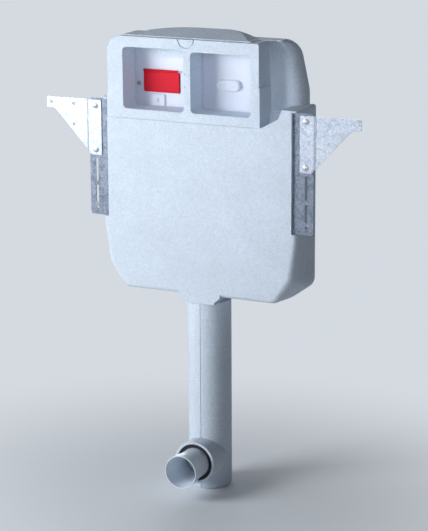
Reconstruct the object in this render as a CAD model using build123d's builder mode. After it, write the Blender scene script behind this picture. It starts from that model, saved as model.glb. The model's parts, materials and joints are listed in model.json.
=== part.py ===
from build123d import *
from math import cos, radians, sin, tan
import os

os.makedirs("parts", exist_ok=True)

# Concealed flushing cistern: an insulated tank that hangs between two slotted rails with wing brackets,
# an access box with two chambers at its front, and an insulated flush pipe down to a forward outlet.
# The origin is the centre of the outlet mouth. X goes to the right, Y back towards the wall, Z up.

# Clearances and sheet sizes that several pieces share
seat_gap = 0.3  # between pieces that lie against each other
running_gap = 0.05  # around a shaft in its bearing
screw_hole_gap = 0.25  # around a screw in its hole
overrun = 2.0  # how far a cut runs past what it cuts
sheet = 2.0  # galvanised sheet

# Turns in degrees, and sides of the nuts
quarter_turn = 90
half_quarter = 45
full_turn = 360
hex_sides = 6
collar_nut_sides = 12

# The levels of the whole cistern from front to back, measured from the outlet mouth
rail_y = 90.0  # front face of the rails
foam_proud = 5.5  # insulation in front of the rails
foam_depth = 102.5  # insulation from front to back
parting_depth = 50.5  # front shell from its face to the parting plane
front_y = rail_y - foam_proud
parting_y = front_y + parting_depth
back_y = front_y + foam_depth

# Lower body: outline of the insulation seen from the front
body_half_w = 200.3
taper_in = 11.8  # the corners of the outline, measured in from the body's side
floor_in = 44.3
side_floor_in = 36.3
floor_z = 324.5
taper_low_rise = 48.5  # from the floor to the end of the diagonal
taper_high_rise = 122.5  # from the floor to where the sides stand upright
shoulder_rise = 365.5  # from the floor to the shoulder
side_low_rise = 26.0  # at the parting plane and behind it the sides stand upright down to here
taper_half_w = body_half_w - taper_in
floor_half_w = body_half_w - floor_in
side_floor_half = body_half_w - side_floor_in
taper_low_z = floor_z + taper_low_rise
taper_high_z = floor_z + taper_high_rise
side_low_z = floor_z + side_low_rise
shoulder_z = floor_z + shoulder_rise
floor_corner_r = 18.0
taper_low_r = 34.0
taper_high_r = 60.0
shoulder_r = 4.0
side_low_r = 22.0
side_high_r = 60.0
front_edge_r = 9.0
front_edge_steps = 4
back_edge_r = 20.0

# Upper body: the narrower part behind the access box
upper_step = 12.3  # narrower than the lower body on each side
upper_lean = 19.9  # how far the sides lean in up to the top
upper_rise = 117.3  # above the shoulder
upper_bend_rise = 26.0  # above the shoulder, where the sides begin to lean in
upper_half_w = body_half_w - upper_step
upper_top_half = upper_half_w - upper_lean
upper_bend_z = shoulder_z + upper_bend_rise
top_z = shoulder_z + upper_rise
upper_bend_r = 60.0
upper_corner_r = 37.0
upper_front_r = 24.0

# Insulation walls
foam_wall = 14.0
foam_back = 12.0
foam_upper_wall = 12.0
foam_face = 6.5  # upper front wall behind the access box
ceiling_wall = 10.0  # under the access box

# Access box
lip_in = 11.0  # insulation in front of the rails ends this far in from the body's side
lip_half_w = body_half_w - lip_in
skirt = 1.6  # how far the box's lower sides stand out
box_lip_gap = 0.7  # between the skirt and the end of the lip
box_right_in = 75.7  # from the body's right side
box_drop = 37.0  # below the shoulder
box_left = box_lip_gap + skirt - lip_half_w
box_right = body_half_w - box_right_in
box_base_z = shoulder_z - box_drop
skirt_left_rise = 48.0  # above the box's base
skirt_right_rise = 76.5
skirt_left_z = box_base_z + skirt_left_rise
skirt_right_z = box_base_z + skirt_right_rise
skirt_chamfer_h = 3.5  # slope above the skirt's right side
skirt_groove_h = 3.0  # groove round the skirt's right side, under its top
skirt_groove_depth = 1.4  # into the box
box_corner_r = 30.0
box_edge_r = 4.0

# The box's two chambers: the walls round them
chamber_r = 8.0
box_left_wall = 32.5
box_right_wall = 17.0
chamber_wall = 14.0  # between the chambers
left_chamber_w = 126.5
left_sill = 18.3  # under each chamber
right_sill = 18.0
left_head = 20.3  # above each chamber
right_head = 22.8
left_chamber_x = (box_left + box_left_wall, box_left + box_left_wall + left_chamber_w)
right_chamber_x = (left_chamber_x[1] + chamber_wall, box_right - box_right_wall)
left_chamber_z = (box_base_z + left_sill, top_z - left_head)
right_chamber_z = (box_base_z + right_sill, top_z - right_head)

# Marks in the box's face: dimples beside the right side of each chamber, and a half-round line
dimple_depth = 12.0
left_dimple_r = 2.8
left_dimple_out = 1.9  # from the chamber's right side
left_dimple_drops = (41.7, 65.7)  # from the chamber's top
right_dimple_r = 2.0
right_dimple_out = 0.6
right_dimple_drops = (32.7, 53.8)
left_dimple_x = left_chamber_x[1] + left_dimple_out
right_dimple_x = right_chamber_x[1] + right_dimple_out
left_dimples = [(left_dimple_x, left_chamber_z[1] - drop) for drop in left_dimple_drops]
right_dimples = [(right_dimple_x, right_chamber_z[1] - drop) for drop in right_dimple_drops]
knockout_r = 15.5  # half-round line in the box's top rim
knockout_right = 5.0  # from the left chamber's right side
knockout_line = 1.6
knockout_depth = 2.5
knockout_x = left_chamber_x[1] + knockout_right

# The hollow in the front shell to the right of the box
scoop_reach = 37.4
scoop_rise = 20.0
scoop_top_reach = 45.3
scoop_wall = 8.0  # low wall behind the hollow
scoop_wall_rise = 26.0
scoop_bend = (box_right + scoop_reach, box_base_z + scoop_rise)
scoop_top_x = box_right + scoop_top_reach
scoop_wall_z = box_base_z + scoop_wall_rise

# Flush pipe and outlet
pipe_forward = 3.5  # the pipe's axis, in front of the parting plane
pipe_y = parting_y - pipe_forward
pipe_r = 25.0
pipe_wall = 2.2
bend_r = 32.0
collar_y = 60.0  # front of the outlet collar
collar_lip = 4.0  # how far the socket lies inside the collar
socket_flare = 11.2  # socket wider than the pipe, each side
socket_wall = 2.7
socket_cone = 6.5
spigot_wall = 2.2
spigot_hold = 12.0  # length of the spigot in the socket
spigot_flare = 3.6  # mouth wider than the tube, each side
mouth_rim = 8.0
flare_end = 40.0
seal_w = 4.5
seal_flange = 2.4
seal_depth = 8.0
socket_r = pipe_r + socket_flare
socket_y = collar_y + collar_lip
spigot_r = socket_r - socket_wall - seal_w
spigot_inner_y = socket_y + spigot_hold
mouth_r = spigot_r + spigot_flare

# Insulation of the flush pipe
jacket_wall = 16.4
jacket_r = pipe_r + jacket_wall
jacket_bottom = 63.0  # below the outlet's axis
jacket_edge_r = 6.0
jacket_seam = 0.8
collar_hole_r = socket_r + seat_gap

# Neck under the body, where the flush pipe leaves
neck_wall = 7.0
neck_flare = 12.0  # wider at the top, each side
neck_slope = 11.5
neck_rise = 15.5
neck_low_half = pipe_r + neck_wall
neck_top_half = neck_low_half + neck_flare
neck_z = floor_z - neck_rise
neck_bore_gap = 1.5

# Rails
rail_out = 30.1  # past the body's side
rail_low_rise = 14.0  # above the upper end of the taper
rail_top_drop = 4.0  # below the shoulder
rail_outer = body_half_w + rail_out
rail_low_z = taper_high_z + rail_low_rise
rail_high_z = shoulder_z - rail_top_drop
rail_web = 25.0
rail_corner_r = 6.0
slot_in = 14.4  # from the rail's outer edge
slot_x = rail_outer - slot_in
slot_w = 5.6
slots = ((40.0, 34.6), (87.1, 45.2), (143.0, 45.2), (194.0, 40.0))  # middle above the low end, length
rail_hole_rise = 14.1
rail_hole_r = 2.5
inner_hole_out = 1.5  # past the body's side
inner_hole_rise = 6.0
inner_hole_r = 2.0
rail_hole_z = rail_low_z + rail_hole_rise
inner_hole_x = body_half_w + inner_hole_out
inner_hole_z = rail_low_z + inner_hole_rise
rail_screw_rises = (29.0, 99.0, 164.0)
rail_screw_back = 17.0  # behind the rail's face
rail_screw_places = [(rail_y + rail_screw_back, rail_low_z + rise) for rise in rail_screw_rises]
rail_screw_r = 2.25
rail_screw_head_r = 4.5
rail_screw_head = 3.0
rail_screw_length = 14.0

# Wing brackets
wing_out = 3.7  # inner edge, past the body's side
wing_reach = 118.3
wing_foot = 16.9  # level part under the tip
wing_h = 105.0
wing_tip_h = 21.0
wing_top_drop = 4.0  # below the rail's top
wing_strip = 22.5  # width at the low end
wing_inner = body_half_w + wing_out
wing_tip = wing_inner + wing_reach
wing_tip_low = wing_tip - wing_foot
wing_diagonal_x = wing_inner + wing_strip
wing_top_z = rail_high_z - wing_top_drop
wing_tip_z = wing_top_z - wing_tip_h
wing_low_z = wing_top_z - wing_h
joggle_out = 0.6  # past the rail's edge
joggle_run = 5.0
joggle_start = rail_outer + joggle_out
joggle_end = joggle_start + joggle_run
wing_hole_r = 3.25
wing_hole_in = 58.4  # from the tip
tip_hole_in = 10.0
wing_hole_drop = 10.0  # from the top
wing_hole_pitch = 39.5
wing_hole_x = wing_tip - wing_hole_in
tip_hole_x = wing_tip - tip_hole_in
wing_hole_z = (wing_top_z - wing_hole_drop, wing_top_z - wing_hole_drop - wing_hole_pitch)
screw_drop = 10.5  # upper screw, from the top
screw_rise = 9.9  # lower screw, from the low end
screw_z = (wing_top_z - screw_drop, wing_low_z + screw_rise)
screw_r = 2.5
screw_head_r = 5.0
screw_head = 2.6
screw_crown_r = 0.65
screw_slot = 1.2
screw_tail = 10.0  # shank behind the bracket
washer_r = 6.0
washer_t = 1.0
nut_af = 8.0
nut_t = 4.0

# Tank
tank_wall = 2.5
tank_hole_gap = 0.3
boss_r = 6.0
boss_t = 8.0
tank_front = front_y + foam_wall + seat_gap
tank_back = back_y - foam_back - seat_gap
tank_inset = foam_wall + seat_gap
tank_half_w = body_half_w - tank_inset
tank_upper_inset = foam_upper_wall + seat_gap
tank_upper_front = parting_y + foam_face + seat_gap
tank_floor = floor_z + tank_inset
tank_ceiling = box_base_z - ceiling_wall - seat_gap

# Chamber covers
cover_back = 3.0  # face behind the parting plane
cover_lap = 3.5  # past the chamber's sides
cover_left_short = 22.5  # top of the left cover, below the chamber's top
cover_front_y = parting_y + cover_back
cover_left_x = (left_chamber_x[0] - cover_lap, left_chamber_x[1] + cover_lap)
cover_left_z = (left_chamber_z[0] - cover_lap, left_chamber_z[1] - cover_left_short)
cover_right_x = (right_chamber_x[0] - cover_lap, right_chamber_x[1] + cover_lap)
cover_right_z = (right_chamber_z[0] - cover_lap, right_chamber_z[1] + cover_lap)

# Red push plate, its pin and the push rod
plate_in = (17.9, 34.4)  # from the left chamber's sides
plate_rise = 25.7  # above the chamber's floor
plate_h = 43.0
plate_t = 2.5
plate_proud = 3.5  # in front of the cover
plate_corner_r = 1.0
plate_knuckle_r = 2.4
plate_pin_r = 1.2
plate_pin_ear = 2.0
plate_ear_r = 1.9
rod_r = 3.0
rod_drop = 34.0  # from the plate's hinge down to the rod
plate_x = (left_chamber_x[0] + plate_in[0], left_chamber_x[1] - plate_in[1])
plate_z = (left_chamber_z[0] + plate_rise, left_chamber_z[0] + plate_rise + plate_h)
plate_front_y = cover_front_y - plate_proud
plate_hinge_y = plate_front_y + plate_t - plate_knuckle_r
plate_hinge_z = plate_z[1] - plate_knuckle_r
rod_x = (plate_x[0] + plate_x[1]) / 2
rod_z = plate_hinge_z - rod_drop

# Screw, clips and rib on the left cover
cover_screw_in = 6.5  # from the chamber's left side
cover_screw_rise = 40.2  # above the chamber's floor
cover_screw_x = left_chamber_x[0] + cover_screw_in
cover_screw_z = left_chamber_z[0] + cover_screw_rise
cover_screw_r = 1.75
cover_screw_head_r = 4.0
cover_screw_head = 2.2
clip_w = 7.0
clip_h = 9.0
clip_t = 2.6
clip_corner_r = 1.3
clip_rises = (61.7, 28.7)
rib_in = 35.0
rib_w = 26.5
rib_short = 4.5  # below the plate
rib_t = 3.5
rib_mark_w = 3.0
rib_mark_h = 8.0
rib_mark_rise = 10.7
rib_x = (left_chamber_x[0] + rib_in, left_chamber_x[0] + rib_in + rib_w)
rib_top_z = plate_z[0] - rib_short
rib_mark_z = left_chamber_z[0] + rib_mark_rise

# Windows in the tank behind the covers
window_lap = 0.8  # past the push plate's sides
window_low = 0.8
window_short = 4.5
window_left_x = (plate_x[0] - window_lap, plate_x[1] + window_lap)
window_left_z = (plate_z[0] - window_low, plate_z[1] - window_short)
window_half = 34.0  # each side of the stop valve
window_half_h = 28.0

# Rocker: lever, shaft and frame
rocker_swing = 15.0  # degrees each side of level
rocker_in = 9.5  # shaft in front of the tank's back
rocker_arm = 14.0  # from the shaft up to the push rod
rocker_reach = 16.0  # from the shaft forward to the lift pin
rocker_tube_r = 4.5
rocker_pin_r = 2.0
rocker_arm_t = 4.0
rocker_arm_w = 10.0
prong_w = 4.0
prong_space = 10.0  # between the two prongs
prong_h = 8.0
prong_wall = 1.2
lift_pin_r = 2.0
lift_pin_gap = 0.35
lift_rod_r = 2.5
frame_left_reach = 26.5  # from the push rod
frame_right = 28.0
ear_t = 4.0
frame_t = 4.0
frame_drop = 16.0  # from the shaft down to the frame's base
guide_t = 4.0
guide_forward = 15.2  # in front of the shaft
guide_reach = 50.0
rocker_y = tank_back - rocker_in
rocker_z = rod_z - rocker_arm
frame_left = rod_x - frame_left_reach
guide_y = rocker_y - guide_forward
lift_y = rocker_y - rocker_reach * cos(radians(rocker_swing))
lift_z = rocker_z - rocker_reach * sin(radians(rocker_swing))

# Flush valve
spout_wall = 2.5
pipe_seal_w = 1.3
spout_drop = 42.8  # below the tank's floor
seat_flange_w = 6.5
seat_flange = 3.0
seat_lip = 4.0
gasket_t = 2.0
gasket_w = 4.5
basket_wall = 2.4
basket_h = 74.0
basket_windows = 6
basket_window_w = 14.0
basket_window_h = 20.0
basket_window_rise = 5.0
basket_slack = 1.1  # inside the basket, round the seal and the float
seal_t = 3.0
tube_r = 14.0
tube_wall = 2.0
tube_top_drop = 14.7  # below the ceiling
tube_flange = 3.0
float_h = 45.0
float_rise_gap = 4.0
carrier_drop = 16.0  # below the tube's top
carrier_h = 10.0
outlet_nut_w = 8.5
outlet_nut_t = 12.0
nut_pocket_gap = 1.5
pipe_seal_rise = 4.0
pipe_seal_h = 12.0
spout_r = pipe_r - pipe_wall - pipe_seal_w
spout_low_z = tank_floor - spout_drop
seat_flange_r = spout_r + seat_flange_w
basket_r = seat_flange_r
seal_r = basket_r - basket_wall - basket_slack
tube_flange_r = seal_r - seat_gap
tube_top_z = tank_ceiling - tube_top_drop
carrier_z = tube_top_z - carrier_drop
outlet_nut_r = spout_r + outlet_nut_w
nut_pocket_r = outlet_nut_r + nut_pocket_gap
pipe_seal_low = spout_low_z + pipe_seal_rise
gasket_z = tank_floor + tank_wall
seat_z = gasket_z + gasket_t
lip_z = seat_z + seat_flange + seat_lip
flush_seal_z = lip_z + seat_gap

# Fill valve
fill_in = 43.0  # from the upper body's side
fill_forward = 17.7  # in front of the tank's back
fill_drop = 2.7  # its head's underside below the tank's ceiling
fill_h = 44.0
fill_r = 12.0
fill_tube_r = 6.0
fill_tube_bore = 4.0
fill_tube_drop = 30.0  # below the float
head_w = 28.0
head_d = 18.0
head_t = 12.0
nipple_r = 6.0
nipple_h = 16.0
nipple_bore = 3.5
nipple_right = 3.0
lever_left = 8.0  # lever's shaft, left of the valve's axis
lever_rise = 5.0  # shaft above the head
lever_reach = 27.0
lever_tail = 4.0
lever_swing = 13.0  # degrees each side of level
lever_t = 4.0
lever_h = 7.0
lever_pin_r = 1.5
lever_ear_t = 3.0
lever_ear_w = 8.0
lever_end_wall = 1.5
float_w = 62.0
float_d = 41.0
float_block_h = 45.0
float_block_r = 6.0
float_drop = 96.0  # below the valve's body
float_left = 10.0
float_forward = 8.5
float_rod_r = 2.0
float_rod_forward = 5.5
float_pin_gap = 0.35
fill_x = upper_half_w - fill_in
fill_y = tank_back - fill_forward
fill_high_z = tank_ceiling - fill_drop
fill_low_z = fill_high_z - fill_h
head_top = fill_high_z + head_t
nipple_x = fill_x + nipple_right
nipple_top_z = head_top + nipple_h
lever_x = fill_x - lever_left
lever_z = head_top + lever_rise
float_block_x = fill_x - float_left
float_block_y = fill_y - float_forward
float_block_z = fill_low_z - float_drop
fill_tube_low_z = float_block_z - fill_tube_drop
float_rod_x = lever_x - lever_reach * cos(radians(lever_swing))
float_rod_y = fill_y - float_rod_forward
float_pin_z = lever_z - lever_reach * sin(radians(lever_swing))

# Stop valve in the right chamber
valve_in = 67.6  # from the chamber's left side
valve_rise = 47.8  # above the chamber's floor
valve_nose = 8.0  # nose behind the cover's face
valve_r = 13.0
valve_flange_r = 19.0
valve_flange = 2.0
valve_tail = 0.5  # how far its inlet ends inside the back face
inlet_r = 9.3
inlet_length = 14.0
inlet_nut_r = 19.0
inlet_nut_t = 5.0
inlet_pocket_r = 22.0
inlet_gasket_t = 2.0
outlet_port_r = 7.0
outlet_port = 22.0  # to the right of the valve's axis
supply_r = 5.0
supply_bore = 3.5
supply_bend_r = 20.0
handle_reach = 27.5
handle_big_r = 11.0
handle_small_r = 9.9
handle_t = 5.2
handle_proud = 5.7  # in front of the cover
handle_edge_r = 2.0
handle_skin = 1.5  # in front of the spindle
handle_disc_in = 2.6  # raised disc, inside the big end
handle_disc_t = 1.0
spindle_r = 4.0
spindle_depth = 6.0
valve_x = right_chamber_x[0] + valve_in
valve_z = right_chamber_z[0] + valve_rise
valve_nose_y = cover_front_y + valve_nose
outlet_port_x = valve_x + outlet_port
handle_front_y = cover_front_y - handle_proud
window_right_x = (valve_x - window_half, valve_x + window_half)
window_right_z = (valve_z - window_half_h, valve_z + window_half_h)

# Crowned lid: a thin plate with a tab at its right, and the crown on it
lid_left_in = 30.0  # from the box's left side
lid_right_in = 20.6
lid_front_in = 9.5
lid_d = 56.0
lid_plate_h = 2.0
lid_tab_out = 47.0
lid_tab_d = 22.0
crown_left_in = 35.0
crown_right_in = 6.0
crown_front_in = 1.0
crown_back_in = 14.0
crown_left_rise = 7.0  # above the top of the box
crown_bulge_left_rise = 13.1
crown_rise = 15.7
crown_bulge_right_rise = 10.6
crown_bulge_left_share = 0.2136  # of the crown's width, from its left end
crown_flat_shares = (0.5318, 0.7591)
crown_bulge_right_share = 0.8955
lid_plate_x = (box_left + lid_left_in, box_right - lid_right_in)
lid_front_y = front_y + lid_front_in
lid_back_y = lid_front_y + lid_d
lid_tab_right = lid_plate_x[1] + lid_tab_out
lid_tab_front_y = lid_back_y - lid_tab_d
crown_front_y = lid_front_y + crown_front_in
crown_back_y = lid_back_y - crown_back_in
crown_left_x = lid_plate_x[0] + crown_left_in
crown_right_x = lid_plate_x[1] - crown_right_in
crown_w = crown_right_x - crown_left_x
crown_bulge_left_x = crown_left_x + crown_w * crown_bulge_left_share
crown_flat_x = [crown_left_x + crown_w * share for share in crown_flat_shares]
crown_bulge_right_x = crown_left_x + crown_w * crown_bulge_right_share


def wall_plane(y):
    # An upright plane at depth y, facing the front, with X and Z as its own axes
    return Plane.XZ.offset(-y)


def side_plane(x):
    # An upright plane at x, with Y and Z as its own axes
    return Plane.YZ.offset(x)


def rounded_face(points, radii):
    # A closed outline of straight runs with its own radius at each corner
    with BuildLine() as outline:
        FilletPolyline(*points, radius=radii, close=True)
    make_face(outline.edges())


def span_rectangle(x_span, z_span, mode=Mode.ADD):
    # A rectangle from one pair of X and one pair of Z
    centre = ((x_span[0] + x_span[1]) / 2, (z_span[0] + z_span[1]) / 2)
    with Locations(centre):
        Rectangle(x_span[1] - x_span[0], z_span[1] - z_span[0], mode=mode)


front_corners = (
    (body_half_w, taper_high_z),
    (taper_half_w, taper_low_z),
    (floor_half_w, floor_z),
)
side_corners = (
    (body_half_w, taper_high_z),
    (body_half_w - seat_gap, side_low_z),
    (side_floor_half, floor_z),
)
front_radii = (taper_high_r, taper_low_r, floor_corner_r)
side_radii = (side_high_r, side_low_r, floor_corner_r)


def inset_face(right, radii, inset):
    # A symmetric outline, given by its right half from the top down, moved in by the same
    # distance from every side
    points = [Vector(x, z) for x, z in right]
    points += [Vector(-x, z) for x, z in reversed(right)]
    moved = []
    for before, here, after in zip([points[-1], *points], points, [*points[1:], points[0]]):
        first = (here - before).normalized().rotate(Axis.Z, -quarter_turn)
        second = (after - here).normalized().rotate(Axis.Z, -quarter_turn)
        shift = (first + second) * inset * (1 / (1 + first.dot(second)))
        moved.append(here + shift)
    rounded_face(moved, [max(r - inset, seat_gap) for r in (*radii, *reversed(radii))])


def body_outline(top_level, inset=0, corners=front_corners, radii=front_radii):
    # The lower body seen from the front, cut off level at the given height
    inset_face([(body_half_w, top_level), *corners], (shoulder_r, *radii), inset)


def upper_outline(base_level, inset=0):
    # The upper body seen from the front, with sides that lean in towards the top
    right = [(upper_top_half, top_z), (upper_half_w, upper_bend_z), (upper_half_w, base_level)]
    inset_face(right, (upper_corner_r, upper_bend_r, seat_gap), inset)


def neck_outline():
    points = (
        (neck_top_half, floor_z + neck_slope),
        (neck_top_half, floor_z),
        (neck_low_half, floor_z - neck_slope),
        (neck_low_half, neck_z),
        (-neck_low_half, neck_z),
        (-neck_low_half, floor_z - neck_slope),
        (-neck_top_half, floor_z),
        (-neck_top_half, floor_z + neck_slope),
    )
    with BuildLine() as outline:
        Polyline(*points, close=True)
    make_face(outline.edges())


def rail_slit(side):
    # The recess beside the front face and the slit where a rail lies, cut out of the front shell
    low = rail_low_z - seat_gap
    high = rail_high_z + seat_gap
    with BuildSketch(wall_plane(rail_y + sheet + seat_gap)) as area:
        span_rectangle(sorted((side * lip_half_w, side * (body_half_w + overrun))), (low, high))
    extrude(area.sketch, amount=sheet + seat_gap + foam_proud + overrun, mode=Mode.SUBTRACT)
    with BuildSketch(wall_plane(rail_y + sheet + seat_gap)) as area:
        slit_x = sorted((side * (tank_half_w - seat_gap), side * (body_half_w + overrun)))
        span_rectangle(slit_x, (low, high))
    extrude(area.sketch, amount=sheet + seat_gap + seat_gap, mode=Mode.SUBTRACT)
    web_outer = tank_half_w + seat_gap + sheet + seat_gap
    with BuildSketch(wall_plane(rail_y + rail_web + seat_gap)) as area:
        span_rectangle(sorted((side * (tank_half_w - seat_gap), side * web_outer)), (low, high))
    extrude(area.sketch, amount=rail_web + seat_gap, mode=Mode.SUBTRACT)


def screw_pockets(side):
    # Room in the insulation for the heads of the screws that hold a rail's web
    pocket = rail_screw_head + sheet + seat_gap + seat_gap
    with BuildSketch(side_plane(side * tank_half_w)) as area:
        with Locations(*rail_screw_places):
            Circle(rail_screw_head_r + seat_gap)
    extrude(area.sketch, amount=side * (pocket + seat_gap), mode=Mode.SUBTRACT)


def pipe_bores():
    # The hole through the neck and the pocket of the outlet nut above it
    with BuildSketch(Plane.XY.offset(neck_z - overrun)) as area:
        with Locations((0, pipe_y)):
            Circle(pipe_r + neck_bore_gap)
    extrude(area.sketch, amount=neck_rise + foam_wall + overrun, mode=Mode.SUBTRACT)
    with BuildSketch(Plane.XY.offset(tank_floor - outlet_nut_t - seat_gap - seat_gap)) as area:
        with Locations((0, pipe_y)):
            Circle(nut_pocket_r)
    extrude(area.sketch, amount=outlet_nut_t + seat_gap + seat_gap, mode=Mode.SUBTRACT)


# Front insulation shell

with BuildPart() as foam_front:
    for step in range(front_edge_steps + 1):
        angle = radians(quarter_turn) * step / front_edge_steps
        depth = front_edge_r * (1 - cos(angle))
        share = depth / parting_depth
        between = [
            (front[0] + (side[0] - front[0]) * share, front[1] + (side[1] - front[1]) * share)
            for front, side in zip(front_corners, side_corners)
        ]
        with BuildSketch(wall_plane(front_y + depth)):
            body_outline(shoulder_z + front_edge_r, front_edge_r * (1 - sin(angle)), between)
    with BuildSketch(wall_plane(parting_y)):
        body_outline(shoulder_z + front_edge_r, 0, side_corners, side_radii)
    loft(ruled=True)
    with BuildSketch(wall_plane(parting_y + overrun)):
        span_rectangle(
            (-body_half_w - overrun, body_half_w + overrun),
            (shoulder_z, shoulder_z + front_edge_r + overrun),
        )
    extrude(amount=parting_depth + overrun + overrun, mode=Mode.SUBTRACT)
    with BuildSketch(wall_plane(parting_y)):
        neck_outline()
    extrude(amount=parting_depth)
    with BuildSketch(wall_plane(parting_y + overrun)):
        body_outline(tank_ceiling + seat_gap + foam_wall, foam_wall)
    extrude(amount=parting_depth - foam_wall + overrun, mode=Mode.SUBTRACT)
    with BuildSketch(wall_plane(parting_y + overrun)):
        span_rectangle(
            (-lip_half_w, box_right + skirt + seat_gap),
            (box_base_z - seat_gap, shoulder_z + overrun),
        )
        with BuildLine():
            Polyline(
                (box_right, box_base_z - seat_gap),
                (box_right + skirt + seat_gap, box_base_z - seat_gap),
                scoop_bend,
                (scoop_top_x, shoulder_z + overrun),
                (box_right, shoulder_z + overrun),
                close=True,
            )
        make_face()
    extrude(amount=parting_depth + overrun + overrun, mode=Mode.SUBTRACT)
    with BuildSketch(wall_plane(parting_y)):
        with BuildLine():
            Polyline(
                (box_right + skirt + seat_gap, box_base_z - seat_gap),
                scoop_bend,
                (scoop_top_x, scoop_wall_z),
                (box_right + skirt + seat_gap, scoop_wall_z),
                close=True,
            )
        make_face()
    extrude(amount=scoop_wall)
    for side in (-1, 1):
        rail_slit(side)
        screw_pockets(side)
    pipe_bores()
foam_front.part.label = "foam_front"
export_step(foam_front.part, "parts/foam_front.step")

# Rear insulation shell with the upper body

upper_base = tank_ceiling - tank_wall

with BuildPart() as upper_body:
    with BuildSketch(wall_plane(back_y)):
        upper_outline(upper_base)
    extrude(amount=foam_depth - parting_depth)
    for end, radius in ((-1, back_edge_r), (0, upper_front_r)):
        rim = upper_body.faces().sort_by(Axis.Y)[end].edges()
        fillet(rim.filter_by(lambda edge: edge.center().Z > upper_base + seat_gap), radius)

with BuildPart() as foam_rear:
    with BuildSketch(wall_plane(back_y)):
        body_outline(shoulder_z, 0, side_corners, side_radii)
    extrude(amount=foam_depth - parting_depth)
    fillet(foam_rear.faces().sort_by(Axis.Y)[-1].edges(), back_edge_r)
    with BuildSketch(wall_plane(pipe_y + jacket_r)):
        neck_outline()
    extrude(amount=pipe_y + jacket_r - parting_y)
    add(upper_body.part)
    with BuildSketch(wall_plane(tank_back + seat_gap)):
        body_outline(tank_ceiling + seat_gap + foam_wall, foam_wall)
    extrude(amount=tank_back + seat_gap - parting_y + overrun, mode=Mode.SUBTRACT)
    with BuildSketch(wall_plane(tank_back + seat_gap)):
        upper_outline(upper_base - foam_upper_wall, foam_upper_wall)
    extrude(amount=tank_back - tank_upper_front + seat_gap + seat_gap, mode=Mode.SUBTRACT)
    with BuildSketch(wall_plane(tank_upper_front)):
        span_rectangle(cover_left_x, cover_left_z)
        span_rectangle(cover_right_x, cover_right_z)
    extrude(amount=tank_upper_front - parting_y + overrun, mode=Mode.SUBTRACT)
    with BuildSketch(wall_plane(back_y + overrun)):
        with Locations((valve_x, valve_z)):
            Circle(inlet_pocket_r)
    extrude(amount=foam_back + overrun + seat_gap, mode=Mode.SUBTRACT)
    pipe_bores()
foam_rear.part.label = "foam_rear"
export_step(foam_rear.part, "parts/foam_rear.step")

# Lid: a thin plate with a tab at its right, and the crown on it, which slopes down to the front

with BuildPart() as foam_lid:
    with BuildSketch(wall_plane(lid_back_y)):
        span_rectangle(lid_plate_x, (top_z, top_z + lid_plate_h))
    extrude(amount=lid_back_y - lid_front_y)
    with BuildSketch(wall_plane(lid_back_y)):
        span_rectangle((lid_plate_x[1], lid_tab_right), (top_z, top_z + lid_plate_h))
    extrude(amount=lid_back_y - lid_tab_front_y)
    with BuildSketch(wall_plane(crown_back_y)):
        with BuildLine():
            ThreePointArc(
                (crown_left_x, top_z + crown_left_rise),
                (crown_bulge_left_x, top_z + crown_bulge_left_rise),
                (crown_flat_x[0], top_z + crown_rise),
            )
            Line((crown_flat_x[0], top_z + crown_rise), (crown_flat_x[1], top_z + crown_rise))
            ThreePointArc(
                (crown_flat_x[1], top_z + crown_rise),
                (crown_bulge_right_x, top_z + crown_bulge_right_rise),
                (crown_right_x, top_z + lid_plate_h),
            )
            Polyline(
                (crown_right_x, top_z + lid_plate_h),
                (crown_left_x, top_z + lid_plate_h),
                (crown_left_x, top_z + crown_left_rise),
            )
        make_face()
    extrude(amount=crown_back_y - crown_front_y)
    with BuildSketch(side_plane(crown_left_x - overrun)):
        with BuildLine():
            Polyline(
                (crown_front_y, top_z + lid_plate_h),
                (crown_back_y, top_z + crown_rise),
                (crown_back_y, top_z + crown_rise + overrun),
                (crown_front_y - overrun, top_z + crown_rise + overrun),
                (crown_front_y - overrun, top_z + lid_plate_h),
                close=True,
            )
        make_face()
    extrude(amount=crown_w + overrun + overrun, mode=Mode.SUBTRACT)
foam_lid.part.label = "foam_lid"
export_step(foam_lid.part, "parts/foam_lid.step")

# Access box with its two chambers

with BuildPart() as access_box:
    with BuildSketch(wall_plane(parting_y)):
        outline = (
            (box_left, box_base_z),
            (box_left, top_z),
            (box_right, top_z),
            (box_right, box_base_z),
        )
        rounded_face(outline, (0, box_corner_r, box_edge_r, 0))
        span_rectangle((box_left - skirt, box_left + box_corner_r), (box_base_z, skirt_left_z))
        with BuildLine():
            Polyline(
                (box_right - box_corner_r, box_base_z),
                (box_right + skirt, box_base_z),
                (box_right + skirt, skirt_right_z),
                (box_right, skirt_right_z + skirt_chamfer_h),
                (box_right - box_corner_r, skirt_right_z + skirt_chamfer_h),
                close=True,
            )
        make_face()
        span_rectangle(
            (box_right - skirt_groove_depth, box_right + skirt + overrun),
            (skirt_right_z - skirt_groove_h, skirt_right_z),
            mode=Mode.SUBTRACT,
        )
        for x_span, z_span in ((left_chamber_x, left_chamber_z), (right_chamber_x, right_chamber_z)):
            centre = ((x_span[0] + x_span[1]) / 2, (z_span[0] + z_span[1]) / 2)
            with Locations(centre):
                RectangleRounded(x_span[1] - x_span[0], z_span[1] - z_span[0], chamber_r, mode=Mode.SUBTRACT)
    extrude(amount=parting_depth)
    with BuildSketch(wall_plane(front_y + dimple_depth)):
        with Locations(*left_dimples):
            Circle(left_dimple_r)
        with Locations(*right_dimples):
            Circle(right_dimple_r)
    extrude(amount=dimple_depth + overrun, mode=Mode.SUBTRACT)
    with BuildSketch(wall_plane(front_y + knockout_depth)):
        with Locations((knockout_x, top_z)):
            Circle(knockout_r + knockout_line)
            Circle(knockout_r, mode=Mode.SUBTRACT)
    extrude(amount=knockout_depth + overrun, mode=Mode.SUBTRACT)
    rail_slit(-1)
access_box.part.label = "access_box"
export_step(access_box.part, "parts/access_box.step")

# Rails with their slots, one on each side


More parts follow.
